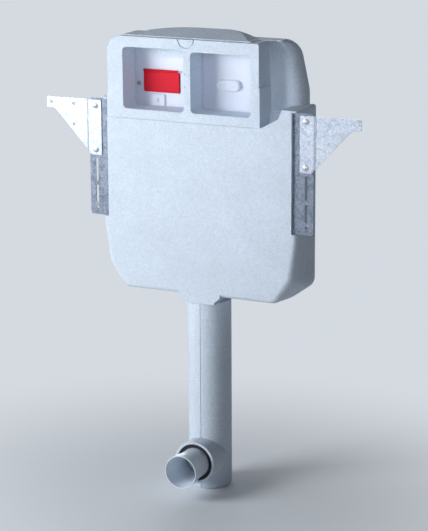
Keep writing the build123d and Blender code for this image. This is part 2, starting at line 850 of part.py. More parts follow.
def make_rail(side):
    inner = tank_half_w + seat_gap
    with BuildPart() as rail:
        with BuildSketch(wall_plane(rail_y + sheet)):
            outline = (
                (side * inner, rail_low_z),
                (side * rail_outer, rail_low_z),
                (side * rail_outer, rail_high_z),
                (side * inner, rail_high_z),
            )
            rounded_face(outline, (0, rail_corner_r, rail_corner_r, 0))
            for middle, length in slots:
                with Locations((side * slot_x, rail_low_z + middle)):
                    SlotOverall(length, slot_w, rotation=quarter_turn, mode=Mode.SUBTRACT)
            with Locations((side * slot_x, rail_hole_z)):
                Circle(rail_hole_r, mode=Mode.SUBTRACT)
            with Locations((side * inner_hole_x, inner_hole_z)):
                Circle(inner_hole_r, mode=Mode.SUBTRACT)
        extrude(amount=sheet)
        with BuildSketch(side_plane(side * inner)):
            span_rectangle((rail_y, rail_y + rail_web), (rail_low_z, rail_high_z))
            with Locations(*rail_screw_places):
                Circle(rail_screw_r + screw_hole_gap, mode=Mode.SUBTRACT)
        extrude(amount=side * sheet)
    return rail.part


for side, name in ((-1, "rail_left"), (1, "rail_right")):
    rail_part = make_rail(side)
    rail_part.label = name
    export_step(rail_part, "parts/" + name + ".step")

# Screws that hold the rails' webs to the tank's sides

with BuildPart() as rail_screws:
    for side in (-1, 1):
        web_face = tank_half_w + seat_gap + sheet
        for place in rail_screw_places:
            with BuildSketch(side_plane(side * web_face)):
                with Locations(place):
                    RegularPolygon(rail_screw_head_r, hex_sides)
            extrude(amount=side * rail_screw_head)
            with BuildSketch(side_plane(side * web_face)):
                with Locations(place):
                    Circle(rail_screw_r)
            extrude(amount=-side * rail_screw_length)
rail_screws.part.label = "rail_screws"
export_step(rail_screws.part, "parts/rail_screws.step")

# Wing brackets: a strip on the rail, a joggle past its edge, and the wing


def make_bracket(side):
    with BuildPart() as bracket:
        with BuildSketch(Plane.XY.offset(wing_low_z)):
            with BuildLine():
                Polyline(
                    (side * wing_inner, rail_y - sheet),
                    (side * joggle_start, rail_y - sheet),
                    (side * joggle_end, rail_y),
                    (side * wing_tip, rail_y),
                    (side * wing_tip, rail_y + sheet),
                    (side * joggle_end, rail_y + sheet),
                    (side * joggle_start, rail_y),
                    (side * wing_inner, rail_y),
                    close=True,
                )
            make_face()
        extrude(amount=wing_top_z - wing_low_z)
        with BuildSketch(wall_plane(rail_y + sheet + overrun)):
            outline = (
                (side * wing_inner, wing_low_z),
                (side * wing_inner, wing_top_z),
                (side * wing_tip, wing_top_z),
                (side * wing_tip, wing_tip_z),
                (side * wing_tip_low, wing_tip_z),
                (side * wing_diagonal_x, wing_low_z),
            )
            rounded_face(outline, [sheet] * len(outline))
            with Locations(*[(side * slot_x, z) for z in screw_z]):
                Circle(screw_r + screw_hole_gap, mode=Mode.SUBTRACT)
            with Locations(*[(side * wing_hole_x, z) for z in wing_hole_z]):
                Circle(wing_hole_r, mode=Mode.SUBTRACT)
            with Locations((side * tip_hole_x, wing_hole_z[0])):
                Circle(wing_hole_r, mode=Mode.SUBTRACT)
        extrude(amount=sheet + sheet + overrun + overrun, mode=Mode.INTERSECT)
    return bracket.part


for side, name in ((-1, "bracket_left"), (1, "bracket_right")):
    bracket_part = make_bracket(side)
    bracket_part.label = name
    export_step(bracket_part, "parts/" + name + ".step")

# Bracket screws with slotted heads, washers and nuts

screw_places = [(side * slot_x, z) for side in (-1, 1) for z in screw_z]
strip_face = rail_y - sheet
washer_face = strip_face - washer_t
nut_face = rail_y + sheet

with BuildPart() as bracket_screws:
    for place in screw_places:
        with BuildSketch(wall_plane(washer_face)):
            with Locations(place):
                Circle(screw_head_r)
        extrude(amount=screw_head)
        with BuildSketch(wall_plane(washer_face - screw_head / 2)):
            with Locations(place):
                Rectangle(screw_slot, screw_head_r * 2 + overrun)
        extrude(amount=screw_head, mode=Mode.SUBTRACT)
        with BuildSketch(wall_plane(rail_y + screw_tail)):
            with Locations(place):
                Circle(screw_r)
        extrude(amount=rail_y + screw_tail - washer_face)
    crowns = bracket_screws.faces().filter_by(Axis.Y).group_by(Axis.Y)[0].edges()
    fillet(crowns.filter_by(GeomType.CIRCLE), screw_crown_r)
bracket_screws.part.label = "bracket_screws"
export_step(bracket_screws.part, "parts/bracket_screws.step")

with BuildPart() as bracket_washers:
    with BuildSketch(wall_plane(strip_face)):
        with Locations(*screw_places):
            Circle(washer_r)
            Circle(screw_r + screw_hole_gap, mode=Mode.SUBTRACT)
    extrude(amount=washer_t)
bracket_washers.part.label = "bracket_washers"
export_step(bracket_washers.part, "parts/bracket_washers.step")

with BuildPart() as bracket_nuts:
    with BuildSketch(wall_plane(nut_face + nut_t)):
        with Locations(*screw_places):
            RegularPolygon(nut_af / 2, hex_sides, major_radius=False)
            Circle(screw_r + running_gap, mode=Mode.SUBTRACT)
    extrude(amount=nut_t)
bracket_nuts.part.label = "bracket_nuts"
export_step(bracket_nuts.part, "parts/bracket_nuts.step")

# Tank: a lower and an upper block, hollow, with its openings and screw bosses

with BuildPart() as tank:
    with BuildSketch(wall_plane(tank_back)):
        body_outline(tank_ceiling + tank_inset, tank_inset)
    extrude(amount=tank_back - tank_front)
    with BuildSketch(wall_plane(tank_back)):
        upper_outline(upper_base - tank_upper_inset, tank_upper_inset)
    extrude(amount=tank_back - tank_upper_front)
    inner_back = tank_back - tank_wall
    with BuildSketch(wall_plane(inner_back)):
        body_outline(tank_ceiling + tank_inset, tank_inset + tank_wall)
    extrude(amount=inner_back - tank_front - tank_wall, mode=Mode.SUBTRACT)
    with BuildSketch(wall_plane(inner_back)):
        upper_outline(upper_base - tank_upper_inset - tank_wall * 2, tank_upper_inset + tank_wall)
    extrude(amount=inner_back - tank_upper_front - tank_wall, mode=Mode.SUBTRACT)
    with BuildSketch(wall_plane(tank_upper_front + tank_wall + overrun)):
        span_rectangle(window_left_x, window_left_z)
        span_rectangle(window_right_x, window_right_z)
    extrude(amount=tank_wall + overrun + overrun, mode=Mode.SUBTRACT)
    with BuildSketch(wall_plane(tank_upper_front + tank_wall + boss_t / 2)):
        with Locations((cover_screw_x, cover_screw_z)):
            Circle(boss_r)
    extrude(amount=boss_t / 2 + tank_wall)
    for side in (-1, 1):
        with BuildSketch(side_plane(side * (tank_half_w - tank_wall))):
            with Locations(*rail_screw_places):
                Circle(boss_r)
        extrude(amount=-side * (rail_screw_length - sheet))
        with BuildSketch(side_plane(side * (tank_half_w + overrun))):
            with Locations(*rail_screw_places):
                Circle(rail_screw_r + running_gap)
        extrude(amount=-side * (rail_screw_length + overrun - sheet), mode=Mode.SUBTRACT)
    with BuildSketch(wall_plane(tank_upper_front + boss_t / 2)):
        with Locations((cover_screw_x, cover_screw_z)):
            Circle(cover_screw_r + running_gap)
    extrude(amount=boss_t / 2 + overrun, mode=Mode.SUBTRACT)
    with BuildSketch(wall_plane(tank_back + overrun)):
        with Locations((valve_x, valve_z)):
            Circle(valve_r + tank_hole_gap)
    extrude(amount=tank_wall + overrun + overrun, mode=Mode.SUBTRACT)
    with BuildSketch(Plane.XY.offset(tank_floor - overrun)):
        with Locations((0, pipe_y)):
            Circle(spout_r + tank_hole_gap)
    extrude(amount=tank_wall + overrun + overrun, mode=Mode.SUBTRACT)
tank.part.label = "tank"
export_step(tank.part, "parts/tank.step")

# Covers behind the two chambers

cover_t = tank_upper_front - seat_gap - cover_front_y

with BuildPart() as access_cover:
    with BuildSketch(wall_plane(cover_front_y + cover_t)):
        with Locations(
            (
                (cover_left_x[0] + cover_left_x[1]) / 2,
                (cover_left_z[0] + cover_left_z[1]) / 2,
            )
        ):
            Rectangle(
                cover_left_x[1] - cover_left_x[0] - seat_gap * 2,
                cover_left_z[1] - cover_left_z[0] - seat_gap * 2,
            )
        span_rectangle(window_left_x, window_left_z, mode=Mode.SUBTRACT)
        with Locations((cover_screw_x, cover_screw_z)):
            Circle(cover_screw_r + screw_hole_gap, mode=Mode.SUBTRACT)
    extrude(amount=cover_t)
    with BuildSketch(wall_plane(cover_front_y)):
        span_rectangle(rib_x, (left_chamber_z[0] + seat_gap, rib_top_z))
        with Locations(((rib_x[0] + rib_x[1]) / 2, rib_mark_z)):
            Rectangle(rib_mark_w, rib_mark_h, mode=Mode.SUBTRACT)
    extrude(amount=rib_t)
    for x in (plate_x[0] - seat_gap - plate_pin_ear, plate_x[1] + seat_gap):
        with BuildSketch(side_plane(x)):
            with Locations((plate_hinge_y, plate_hinge_z)):
                Circle(plate_ear_r)
            span_rectangle(
                (plate_hinge_y, cover_front_y),
                (plate_hinge_z - plate_ear_r, plate_hinge_z + plate_ear_r),
            )
            with Locations((plate_hinge_y, plate_hinge_z)):
                Circle(plate_pin_r + running_gap, mode=Mode.SUBTRACT)
        extrude(amount=plate_pin_ear)
access_cover.part.label = "access_cover"
export_step(access_cover.part, "parts/access_cover.step")

with BuildPart() as inlet_plate:
    with BuildSketch(wall_plane(cover_front_y + cover_t)):
        with Locations(
            (
                (cover_right_x[0] + cover_right_x[1]) / 2,
                (cover_right_z[0] + cover_right_z[1]) / 2,
            )
        ):
            Rectangle(
                cover_right_x[1] - cover_right_x[0] - seat_gap * 2,
                cover_right_z[1] - cover_right_z[0] - seat_gap * 2,
            )
        with Locations((valve_x, valve_z)):
            Circle(spindle_r + seat_gap, mode=Mode.SUBTRACT)
    extrude(amount=cover_t)
inlet_plate.part.label = "inlet_plate"
export_step(inlet_plate.part, "parts/inlet_plate.step")

with BuildPart() as cover_screw:
    with BuildSketch(wall_plane(cover_front_y)):
        with Locations((cover_screw_x, cover_screw_z)):
            Circle(cover_screw_head_r)
    extrude(amount=cover_screw_head)
    with BuildSketch(wall_plane(cover_front_y - cover_screw_head / 2)):
        with Locations((cover_screw_x, cover_screw_z)):
            Rectangle(cover_screw_head_r * 2 + overrun, screw_slot)
    extrude(amount=cover_screw_head, mode=Mode.SUBTRACT)
    with BuildSketch(wall_plane(tank_upper_front + boss_t / 2)):
        with Locations((cover_screw_x, cover_screw_z)):
            Circle(cover_screw_r)
    extrude(amount=tank_upper_front + boss_t / 2 - cover_front_y)
cover_screw.part.label = "cover_screw"
export_step(cover_screw.part, "parts/cover_screw.step")

with BuildPart() as cover_clips:
    clip_x = left_chamber_x[1] - seat_gap - clip_w / 2
    with BuildSketch(wall_plane(cover_front_y)):
        with Locations(*[(clip_x, left_chamber_z[0] + rise) for rise in clip_rises]):
            RectangleRounded(clip_w, clip_h, clip_corner_r)
    extrude(amount=clip_t)
cover_clips.part.label = "cover_clips"
export_step(cover_clips.part, "parts/cover_clips.step")

# Red push plate that swings in about a pin along its top edge

with BuildPart() as push_plate:
    with BuildSketch(wall_plane(plate_front_y + plate_t)):
        span_rectangle(plate_x, (plate_z[0], plate_hinge_z))
    extrude(amount=plate_t)
    fillet(push_plate.edges().filter_by(Axis.Y).group_by(Axis.Z)[0], plate_corner_r)
    with BuildSketch(side_plane(plate_x[0])):
        with Locations((plate_hinge_y, plate_hinge_z)):
            Circle(plate_knuckle_r)
    extrude(amount=plate_x[1] - plate_x[0])
    with BuildSketch(side_plane(plate_x[0] - overrun)):
        with Locations((plate_hinge_y, plate_hinge_z)):
            Circle(plate_pin_r + running_gap)
    extrude(amount=plate_x[1] - plate_x[0] + overrun * 2, mode=Mode.SUBTRACT)
push_plate.part.label = "push_plate"
export_step(push_plate.part, "parts/push_plate.step")

with BuildPart() as plate_pin:
    with BuildSketch(side_plane(plate_x[0] - seat_gap - plate_pin_ear)):
        with Locations((plate_hinge_y, plate_hinge_z)):
            Circle(plate_pin_r)
    extrude(amount=plate_x[1] - plate_x[0] + (seat_gap + plate_pin_ear) * 2)
plate_pin.part.label = "plate_pin"
export_step(plate_pin.part, "parts/plate_pin.step")

# Push rod with round ends, between the plate and the rocker

rod_front = plate_front_y + plate_t + seat_gap
lean = radians(rocker_swing)
arm_half = rocker_arm_t / 2
rod_back = rocker_y - rocker_arm * tan(lean) - (rod_r + arm_half + seat_gap) / cos(lean) + rod_r
rod_arc = (rod_r * cos(radians(half_quarter)), rod_r * sin(radians(half_quarter)))

with BuildPart() as push_rod:
    with BuildSketch(side_plane(rod_x)):
        with BuildLine():
            Line((rod_front, rod_z), (rod_back, rod_z))
            ThreePointArc(
                (rod_back, rod_z),
                (rod_back - rod_r + rod_arc[0], rod_z + rod_arc[1]),
                (rod_back - rod_r, rod_z + rod_r),
            )
            Line((rod_back - rod_r, rod_z + rod_r), (rod_front + rod_r, rod_z + rod_r))
            ThreePointArc(
                (rod_front + rod_r, rod_z + rod_r),
                (rod_front + rod_r - rod_arc[0], rod_z + rod_arc[1]),
                (rod_front, rod_z),
            )
        make_face()
    revolve(axis=Axis((rod_x, rod_front, rod_z), (0, 1, 0)))
push_rod.part.label = "push_rod"
export_step(push_rod.part, "parts/push_rod.step")

# Rocker frame: a base on the tank's back wall, two ears for the shaft and a guide for the push rod

frame_base_z = rocker_z - frame_drop
frame_back_y = tank_back - tank_wall - seat_gap
ear_r = rocker_pin_r + ear_t

with BuildPart() as rocker_frame:
    with BuildSketch(Plane.XY.offset(frame_base_z)):
        span_rectangle((frame_left, frame_right), (rocker_y - ear_r, frame_back_y))
        span_rectangle((frame_left, frame_left + guide_reach), (guide_y, frame_back_y))
    extrude(amount=frame_t)
    for x in (frame_left, frame_right - ear_t):
        with BuildSketch(side_plane(x)):
            with Locations((rocker_y, rocker_z)):
                Circle(ear_r)
            span_rectangle((rocker_y - ear_r, rocker_y + ear_r), (frame_base_z, rocker_z))
            with Locations((rocker_y, rocker_z)):
                Circle(rocker_pin_r + running_gap, mode=Mode.SUBTRACT)
        extrude(amount=ear_t)
    with BuildSketch(wall_plane(guide_y + guide_t)):
        span_rectangle((frame_left, frame_left + guide_reach), (frame_base_z, rod_z + rod_r + guide_t))
        with Locations((rod_x, rod_z)):
            Circle(rod_r + running_gap, mode=Mode.SUBTRACT)
    extrude(amount=guide_t)
rocker_frame.part.label = "rocker_frame"
export_step(rocker_frame.part, "parts/rocker_frame.step")

with BuildPart() as rocker_pin:
    with BuildSketch(side_plane(frame_left)):
        with Locations((rocker_y, rocker_z)):
            Circle(rocker_pin_r)
    extrude(amount=frame_right - frame_left)
rocker_pin.part.label = "rocker_pin"
export_step(rocker_pin.part, "parts/rocker_pin.step")

# Rocker lever: a tube on the shaft, an upright arm for the push rod and two slotted prongs

prong_slot_w = (lift_pin_r + lift_pin_gap) * 2
prong_slack = rocker_reach - rocker_reach * cos(lean)
prong_end = rocker_reach + lift_pin_r + lift_pin_gap + prong_wall
rocker_direction = (0, cos(lean), sin(lean))

with BuildPart() as rocker_lever:
    with BuildSketch(side_plane(frame_left + ear_t + seat_gap)):
        with Locations((rocker_y, rocker_z)):
            Circle(rocker_tube_r)
    extrude(amount=frame_right - frame_left - (ear_t + seat_gap) * 2)
    arm_left = rod_x - rocker_arm_w / 2
    with BuildSketch(Plane((arm_left, rocker_y, rocker_z), rocker_direction, (1, 0, 0))):
        with Locations((0, (rocker_arm + rod_r) / 2)):
            Rectangle(rocker_arm_t, rocker_arm + rod_r)
    extrude(amount=rocker_arm_w)
    for x in (-prong_space / 2 - prong_w, prong_space / 2):
        with BuildSketch(Plane((x, rocker_y, rocker_z), rocker_direction, (1, 0, 0))):
            with Locations((-prong_end / 2, 0)):
                Rectangle(prong_end, prong_h)
            with Locations((prong_slack / 2 - rocker_reach, 0)):
                SlotOverall(prong_slot_w + prong_slack, prong_slot_w, mode=Mode.SUBTRACT)
        extrude(amount=prong_w)
    with BuildSketch(side_plane(frame_left)):
        with Locations((rocker_y, rocker_z)):
            Circle(rocker_pin_r + running_gap)
    extrude(amount=frame_right - frame_left, mode=Mode.SUBTRACT)
rocker_lever.part.label = "rocker_lever"
export_step(rocker_lever.part, "parts/rocker_lever.step")

# Valve seat with its spout through the tank floor, gasket and nut

with BuildPart() as valve_seat:
    with BuildSketch(Plane.XY.offset(seat_z)):
        with Locations((0, pipe_y)):
            Circle(seat_flange_r)
    extrude(amount=seat_flange)
    with BuildSketch(Plane.XY.offset(seat_z + seat_flange)):
        with Locations((0, pipe_y)):
            Circle(spout_r)
    extrude(amount=seat_lip)
    with BuildSketch(Plane.XY.offset(spout_low_z)):
        with Locations((0, pipe_y)):
            Circle(spout_r)
    extrude(amount=seat_z - spout_low_z)
    with BuildSketch(Plane.XY.offset(spout_low_z - overrun)):
        with Locations((0, pipe_y)):
            Circle(spout_r - spout_wall)
    extrude(amount=lip_z - spout_low_z + overrun * 2, mode=Mode.SUBTRACT)
valve_seat.part.label = "valve_seat"
export_step(valve_seat.part, "parts/valve_seat.step")


def ring(level, height, outer, inner, label):
    # A plain ring about the flush valve's axis
    with BuildPart() as piece:
        with BuildSketch(Plane.XY.offset(level)):
            with Locations((0, pipe_y)):
                Circle(outer)
                Circle(inner, mode=Mode.SUBTRACT)
        extrude(amount=height)
    piece.part.label = label
    export_step(piece.part, "parts/" + label + ".step")


ring(gasket_z, gasket_t, seat_flange_r, seat_flange_r - gasket_w, "seat_gasket")
ring(pipe_seal_low, pipe_seal_h, pipe_r - pipe_wall - running_gap, spout_r + running_gap, "pipe_seal")
ring(flush_seal_z, seal_t, seal_r, tube_r - tube_wall, "flush_seal")

with BuildPart() as outlet_nut:
    with BuildSketch(Plane.XY.offset(tank_floor - outlet_nut_t)):
        with Locations((0, pipe_y)):
            RegularPolygon(outlet_nut_r, collar_nut_sides)
            Circle(spout_r + running_gap, mode=Mode.SUBTRACT)
    extrude(amount=outlet_nut_t)
outlet_nut.part.label = "outlet_nut"
export_step(outlet_nut.part, "parts/outlet_nut.step")

# Basket round the moving part of the flush valve

basket_z = seat_z + seat_flange
basket_top_z = basket_z + basket_h

with BuildPart() as valve_basket:
    with BuildSketch(Plane.XY.offset(basket_z)):
        with Locations((0, pipe_y)):
            Circle(basket_r)
            Circle(basket_r - basket_wall, mode=Mode.SUBTRACT)
    extrude(amount=basket_h)
    with BuildSketch(Plane.XY.offset(basket_top_z - basket_wall)):
        with Locations((0, pipe_y)):
            Circle(basket_r)
            Circle(tube_r + running_gap, mode=Mode.SUBTRACT)
    extrude(amount=basket_wall)
    window_z = basket_z + basket_window_rise
    for pair in range(basket_windows // 2):
        turn = radians(full_turn * pair / basket_windows)
        across = Plane(
            origin=(0, pipe_y, window_z + basket_window_h / 2),
            x_dir=(cos(turn), sin(turn), 0),
            z_dir=(-sin(turn), cos(turn), 0),
        )
        with BuildSketch(across):
            RectangleRounded(basket_window_w, basket_window_h, basket_wall)
        extrude(amount=basket_r + overrun, both=True, mode=Mode.SUBTRACT)
valve_basket.part.label = "valve_basket"
export_step(valve_basket.part, "parts/valve_basket.step")

# Overflow tube with the flange that carries the seal, its float and the lift rod

tube_low_z = flush_seal_z + seal_t
carrier_reach = lift_y + lift_rod_r + tube_wall

with BuildPart() as overflow_tube:
    with BuildSketch(Plane.XY.offset(tube_low_z)):
        with Locations((0, pipe_y)):
            Circle(tube_flange_r)
    extrude(amount=tube_flange)
    with BuildSketch(Plane.XY.offset(tube_low_z)):
        with Locations((0, pipe_y)):
            Circle(tube_r)
    extrude(amount=tube_top_z - tube_low_z)
    with BuildSketch(Plane.XY.offset(carrier_z)):
        span_rectangle((-tube_r / 2, tube_r / 2), (pipe_y, carrier_reach))
        with Locations((0, lift_y)):
            Circle(lift_rod_r + running_gap, mode=Mode.SUBTRACT)
    extrude(amount=carrier_h)
    with BuildSketch(Plane.XY.offset(tube_low_z - overrun)):
        with Locations((0, pipe_y)):
            Circle(tube_r - tube_wall)
    extrude(amount=tube_top_z - tube_low_z + overrun * 2, mode=Mode.SUBTRACT)
overflow_tube.part.label = "overflow_tube"
export_step(overflow_tube.part, "parts/overflow_tube.step")

ring(tube_low_z + tube_flange + float_rise_gap, float_h, seal_r, tube_r + running_gap, "valve_float")

with BuildPart() as lift_rod:
    with BuildSketch(Plane.XY.offset(carrier_z)):
        with Locations((0, lift_y)):
            Circle(lift_rod_r)
    extrude(amount=lift_z + lift_rod_r - carrier_z)
    pin_half = prong_space / 2 + prong_w
    with BuildSketch(side_plane(-pin_half)):
        with Locations((lift_y, lift_z)):
            Circle(lift_pin_r)
    extrude(amount=pin_half * 2)
lift_rod.part.label = "lift_rod"
export_step(lift_rod.part, "parts/lift_rod.step")

# Fill valve with its drop tube

with BuildPart() as fill_valve:
    with BuildSketch(Plane.XY.offset(fill_low_z)):
        with Locations((fill_x, fill_y)):
            Circle(fill_r)
    extrude(amount=fill_high_z - fill_low_z)
    with BuildSketch(Plane.XY.offset(fill_tube_low_z)):
        with Locations((fill_x, fill_y)):
            Circle(fill_tube_r)
    extrude(amount=fill_low_z - fill_tube_low_z)
    with BuildSketch(Plane.XY.offset(fill_high_z)):
        with Locations((fill_x, fill_y)):
            Rectangle(head_w, head_d)
    extrude(amount=head_t)
    with BuildSketch(Plane.XY.offset(head_top)):
        with Locations((nipple_x, fill_y)):
            Circle(nipple_r)
    extrude(amount=nipple_top_z - head_top)
    for y in (fill_y - head_d / 2, fill_y + head_d / 2 - lever_ear_t):
        with BuildSketch(wall_plane(y + lever_ear_t)):
            with Locations((lever_x, lever_z)):
                Circle(lever_ear_w / 2)
            span_rectangle((lever_x - lever_ear_w / 2, lever_x + lever_ear_w / 2), (head_top, lever_z))
            with Locations((lever_x, lever_z)):
                Circle(lever_pin_r + running_gap, mode=Mode.SUBTRACT)
        extrude(amount=lever_ear_t)
    with BuildSketch(Plane.XY.offset(fill_high_z)):
        with Locations((nipple_x, fill_y)):
            Circle(nipple_bore)
    extrude(amount=nipple_top_z - fill_high_z + overrun, mode=Mode.SUBTRACT)
    with BuildSketch(Plane.XY.offset(fill_tube_low_z - overrun)):
        with Locations((fill_x, fill_y)):
            Circle(fill_tube_bore)
    extrude(amount=fill_high_z - fill_tube_low_z, mode=Mode.SUBTRACT)
fill_valve.part.label = "fill_valve"
export_step(fill_valve.part, "parts/fill_valve.step")

# Lever of the fill valve, its pin, the float and the float's rod

lever_slot_w = (float_rod_r + float_pin_gap) * 2
lever_lean = radians(lever_swing)
lever_slack = lever_reach - lever_reach * cos(lever_lean)
lever_end = lever_reach + float_rod_r + float_pin_gap + lever_end_wall
lever_origin = (lever_x, fill_y + lever_t / 2, lever_z)

with BuildPart() as fill_lever:
    with BuildSketch(Plane(lever_origin, (cos(lever_lean), 0, sin(lever_lean)), (0, -1, 0))):
        with BuildLine():
            FilletPolyline(
                (-lever_end, -lever_h / 2),
                (lever_tail, -lever_h / 2),
                (lever_tail, lever_h / 2),
                (-lever_end, lever_h / 2),
                radius=lever_end_wall,
                close=True,
            )
        make_face()
        with Locations((lever_slack / 2 - lever_reach, 0)):
            SlotOverall(lever_slot_w + lever_slack, lever_slot_w, mode=Mode.SUBTRACT)
        Circle(lever_pin_r + running_gap, mode=Mode.SUBTRACT)
    extrude(amount=lever_t)
fill_lever.part.label = "fill_lever"
export_step(fill_lever.part, "parts/fill_lever.step")

with BuildPart() as fill_lever_pin:
    with BuildSketch(wall_plane(fill_y + head_d / 2)):
        with Locations((lever_x, lever_z)):
            Circle(lever_pin_r)
    extrude(amount=head_d)
fill_lever_pin.part.label = "fill_lever_pin"
export_step(fill_lever_pin.part, "parts/fill_lever_pin.step")

with BuildPart() as fill_float:
    with BuildSketch(Plane.XY.offset(float_block_z)):
        with Locations((float_block_x, float_block_y)):
            RectangleRounded(float_w, float_d, float_block_r)
        with Locations((fill_x, fill_y)):
            Circle(fill_tube_r + running_gap, mode=Mode.SUBTRACT)
    extrude(amount=float_block_h)
fill_float.part.label = "fill_float"
export_step(fill_float.part, "parts/fill_float.step")

with BuildPart() as float_rod:
    float_top = float_block_z + float_block_h
    with BuildSketch(Plane.XY.offset(float_top)):
        with Locations((float_rod_x, float_rod_y)):
            Circle(float_rod_r)
    extrude(amount=float_pin_z + float_rod_r - float_top)
    with BuildSketch(wall_plane(fill_y + lever_t / 2 + seat_gap)):
        with Locations((float_rod_x, float_pin_z)):
            Circle(float_rod_r)
    extrude(amount=fill_y + lever_t / 2 + seat_gap - float_rod_y)
float_rod.part.label = "float_rod"
export_step(float_rod.part, "parts/float_rod.step")

# Stop valve behind the right chamber, with its inlet through the tank's back wall

valve_back_y = back_y - valve_tail
valve_seat_y = tank_back - tank_wall - inlet_gasket_t

with BuildPart() as stop_valve:
    with BuildSketch(wall_plane(valve_back_y)):
        with Locations((valve_x, valve_z)):
            Circle(valve_r)
    extrude(amount=valve_back_y - valve_nose_y)
    with BuildSketch(wall_plane(valve_seat_y)):
        with Locations((valve_x, valve_z)):
            Circle(valve_flange_r)
    extrude(amount=valve_flange)
    with BuildSketch(side_plane(valve_x)):
        with Locations((fill_y, valve_z)):
            Circle(outlet_port_r)
    extrude(amount=outlet_port_x - valve_x)
    with BuildSketch(wall_plane(valve_back_y + overrun)):
        with Locations((valve_x, valve_z)):
            Circle(inlet_r)
    extrude(amount=inlet_length + overrun, mode=Mode.SUBTRACT)
    with BuildSketch(wall_plane(valve_nose_y + spindle_depth)):
        with Locations((valve_x, valve_z)):
            Circle(spindle_r + running_gap)
    extrude(amount=spindle_depth + overrun, mode=Mode.SUBTRACT)
stop_valve.part.label = "stop_valve"
export_step(stop_valve.part, "parts/stop_valve.step")

with BuildPart() as inlet_nut:
    with BuildSketch(wall_plane(tank_back + inlet_nut_t)):
        with Locations((valve_x, valve_z)):
            RegularPolygon(inlet_nut_r, hex_sides)
            Circle(valve_r + running_gap, mode=Mode.SUBTRACT)
    extrude(amount=inlet_nut_t)
inlet_nut.part.label = "inlet_nut"
export_step(inlet_nut.part, "parts/inlet_nut.step")

with BuildPart() as inlet_gasket:
    with BuildSketch(wall_plane(valve_seat_y + inlet_gasket_t)):
        with Locations((valve_x, valve_z)):
            Circle(valve_flange_r)
            Circle(valve_r + running_gap, mode=Mode.SUBTRACT)
    extrude(amount=inlet_gasket_t)
inlet_gasket.part.label = "inlet_gasket"
export_step(inlet_gasket.part, "parts/inlet_gasket.step")

with BuildPart() as supply_pipe:
    with BuildLine() as supply_path:
        FilletPolyline(
            (outlet_port_x, fill_y, valve_z),
            (nipple_x, fill_y, valve_z),
            (nipple_x, fill_y, nipple_top_z),
            radius=supply_bend_r,
        )
    with BuildSketch(side_plane(outlet_port_x)):
        with Locations((fill_y, valve_z)):
            Circle(supply_r)
            Circle(supply_bore, mode=Mode.SUBTRACT)
    sweep(path=supply_path.wires()[0])
supply_pipe.part.label = "supply_pipe"
export_step(supply_pipe.part, "parts/supply_pipe.step")

with BuildPart() as stop_valve_handle:
    with BuildSketch(wall_plane(handle_front_y + handle_t)):
        with Locations((valve_x, valve_z)):
            Circle(handle_big_r)
        with Locations((valve_x - handle_reach, valve_z)):
            Circle(handle_small_r)
        with Locations((valve_x - handle_reach / 2, valve_z)):
            Rectangle(handle_reach, handle_small_r * 2)
    extrude(amount=handle_t)
    face_edges = stop_valve_handle.faces().sort_by(Axis.Y)[0].outer_wire().edges()
    fillet(face_edges, handle_edge_r)
    with BuildSketch(wall_plane(handle_front_y)):
        with Locations((valve_x, valve_z)):
            Circle(handle_big_r - handle_disc_in)
    extrude(amount=handle_disc_t)
    with BuildSketch(wall_plane(handle_front_y + handle_t)):
        with Locations((valve_x, valve_z)):
            Circle(spindle_r + running_gap)
    extrude(amount=handle_t - handle_skin, mode=Mode.SUBTRACT)
stop_valve_handle.part.label = "stop_valve_handle"
export_step(stop_valve_handle.part, "parts/stop_valve_handle.step")

with BuildPart() as stop_valve_spindle:
    with BuildSketch(wall_plane(valve_nose_y + spindle_depth - seat_gap)):
        with Locations((valve_x, valve_z)):
            Circle(spindle_r)
    extrude(amount=valve_nose_y + spindle_depth - handle_front_y - handle_skin - seat_gap * 2)
stop_valve_spindle.part.label = "stop_valve_spindle"
export_step(stop_valve_spindle.part, "parts/stop_valve_spindle.step")

# Flush pipe: down from the tank, round the bend and out into its socket

bend_y = pipe_y - bend_r
cone_y = bend_y - socket_cone
pipe_top_z = tank_floor - outlet_nut_t - seat_gap * 2


def pipe_solid(radius, socket_radius, top_level, front_level):
    # The pipe's run as one solid body of the given radii
    with BuildPart() as run:
        with BuildSketch(Plane.XY.offset(bend_r)):
            with Locations((0, pipe_y)):
                Circle(radius)
        extrude(amount=top_level - bend_r)
        with BuildSketch(Plane.XY.offset(bend_r)):
            with Locations((0, pipe_y)):
                Circle(radius)
        revolve(axis=Axis((0, bend_y, bend_r), (1, 0, 0)), revolution_arc=-quarter_turn)
        with BuildSketch(wall_plane(bend_y)):
            Circle(radius)
        with BuildSketch(wall_plane(cone_y)):
            Circle(socket_radius)
        loft()
        with BuildSketch(wall_plane(cone_y)):
            Circle(socket_radius)
        extrude(amount=cone_y - front_level)
    return run.part


with BuildPart() as flush_pipe:
    add(pipe_solid(pipe_r, socket_r, pipe_top_z, socket_y))
    add(
        pipe_solid(pipe_r - pipe_wall, socket_r - socket_wall, pipe_top_z + overrun, socket_y - overrun),
        mode=Mode.SUBTRACT,
    )
flush_pipe.part.label = "flush_pipe"
export_step(flush_pipe.part, "parts/flush_pipe.step")

# Insulation of the flush pipe: two halves that meet in a seam at the front

jacket_top_z = neck_z - seat_gap


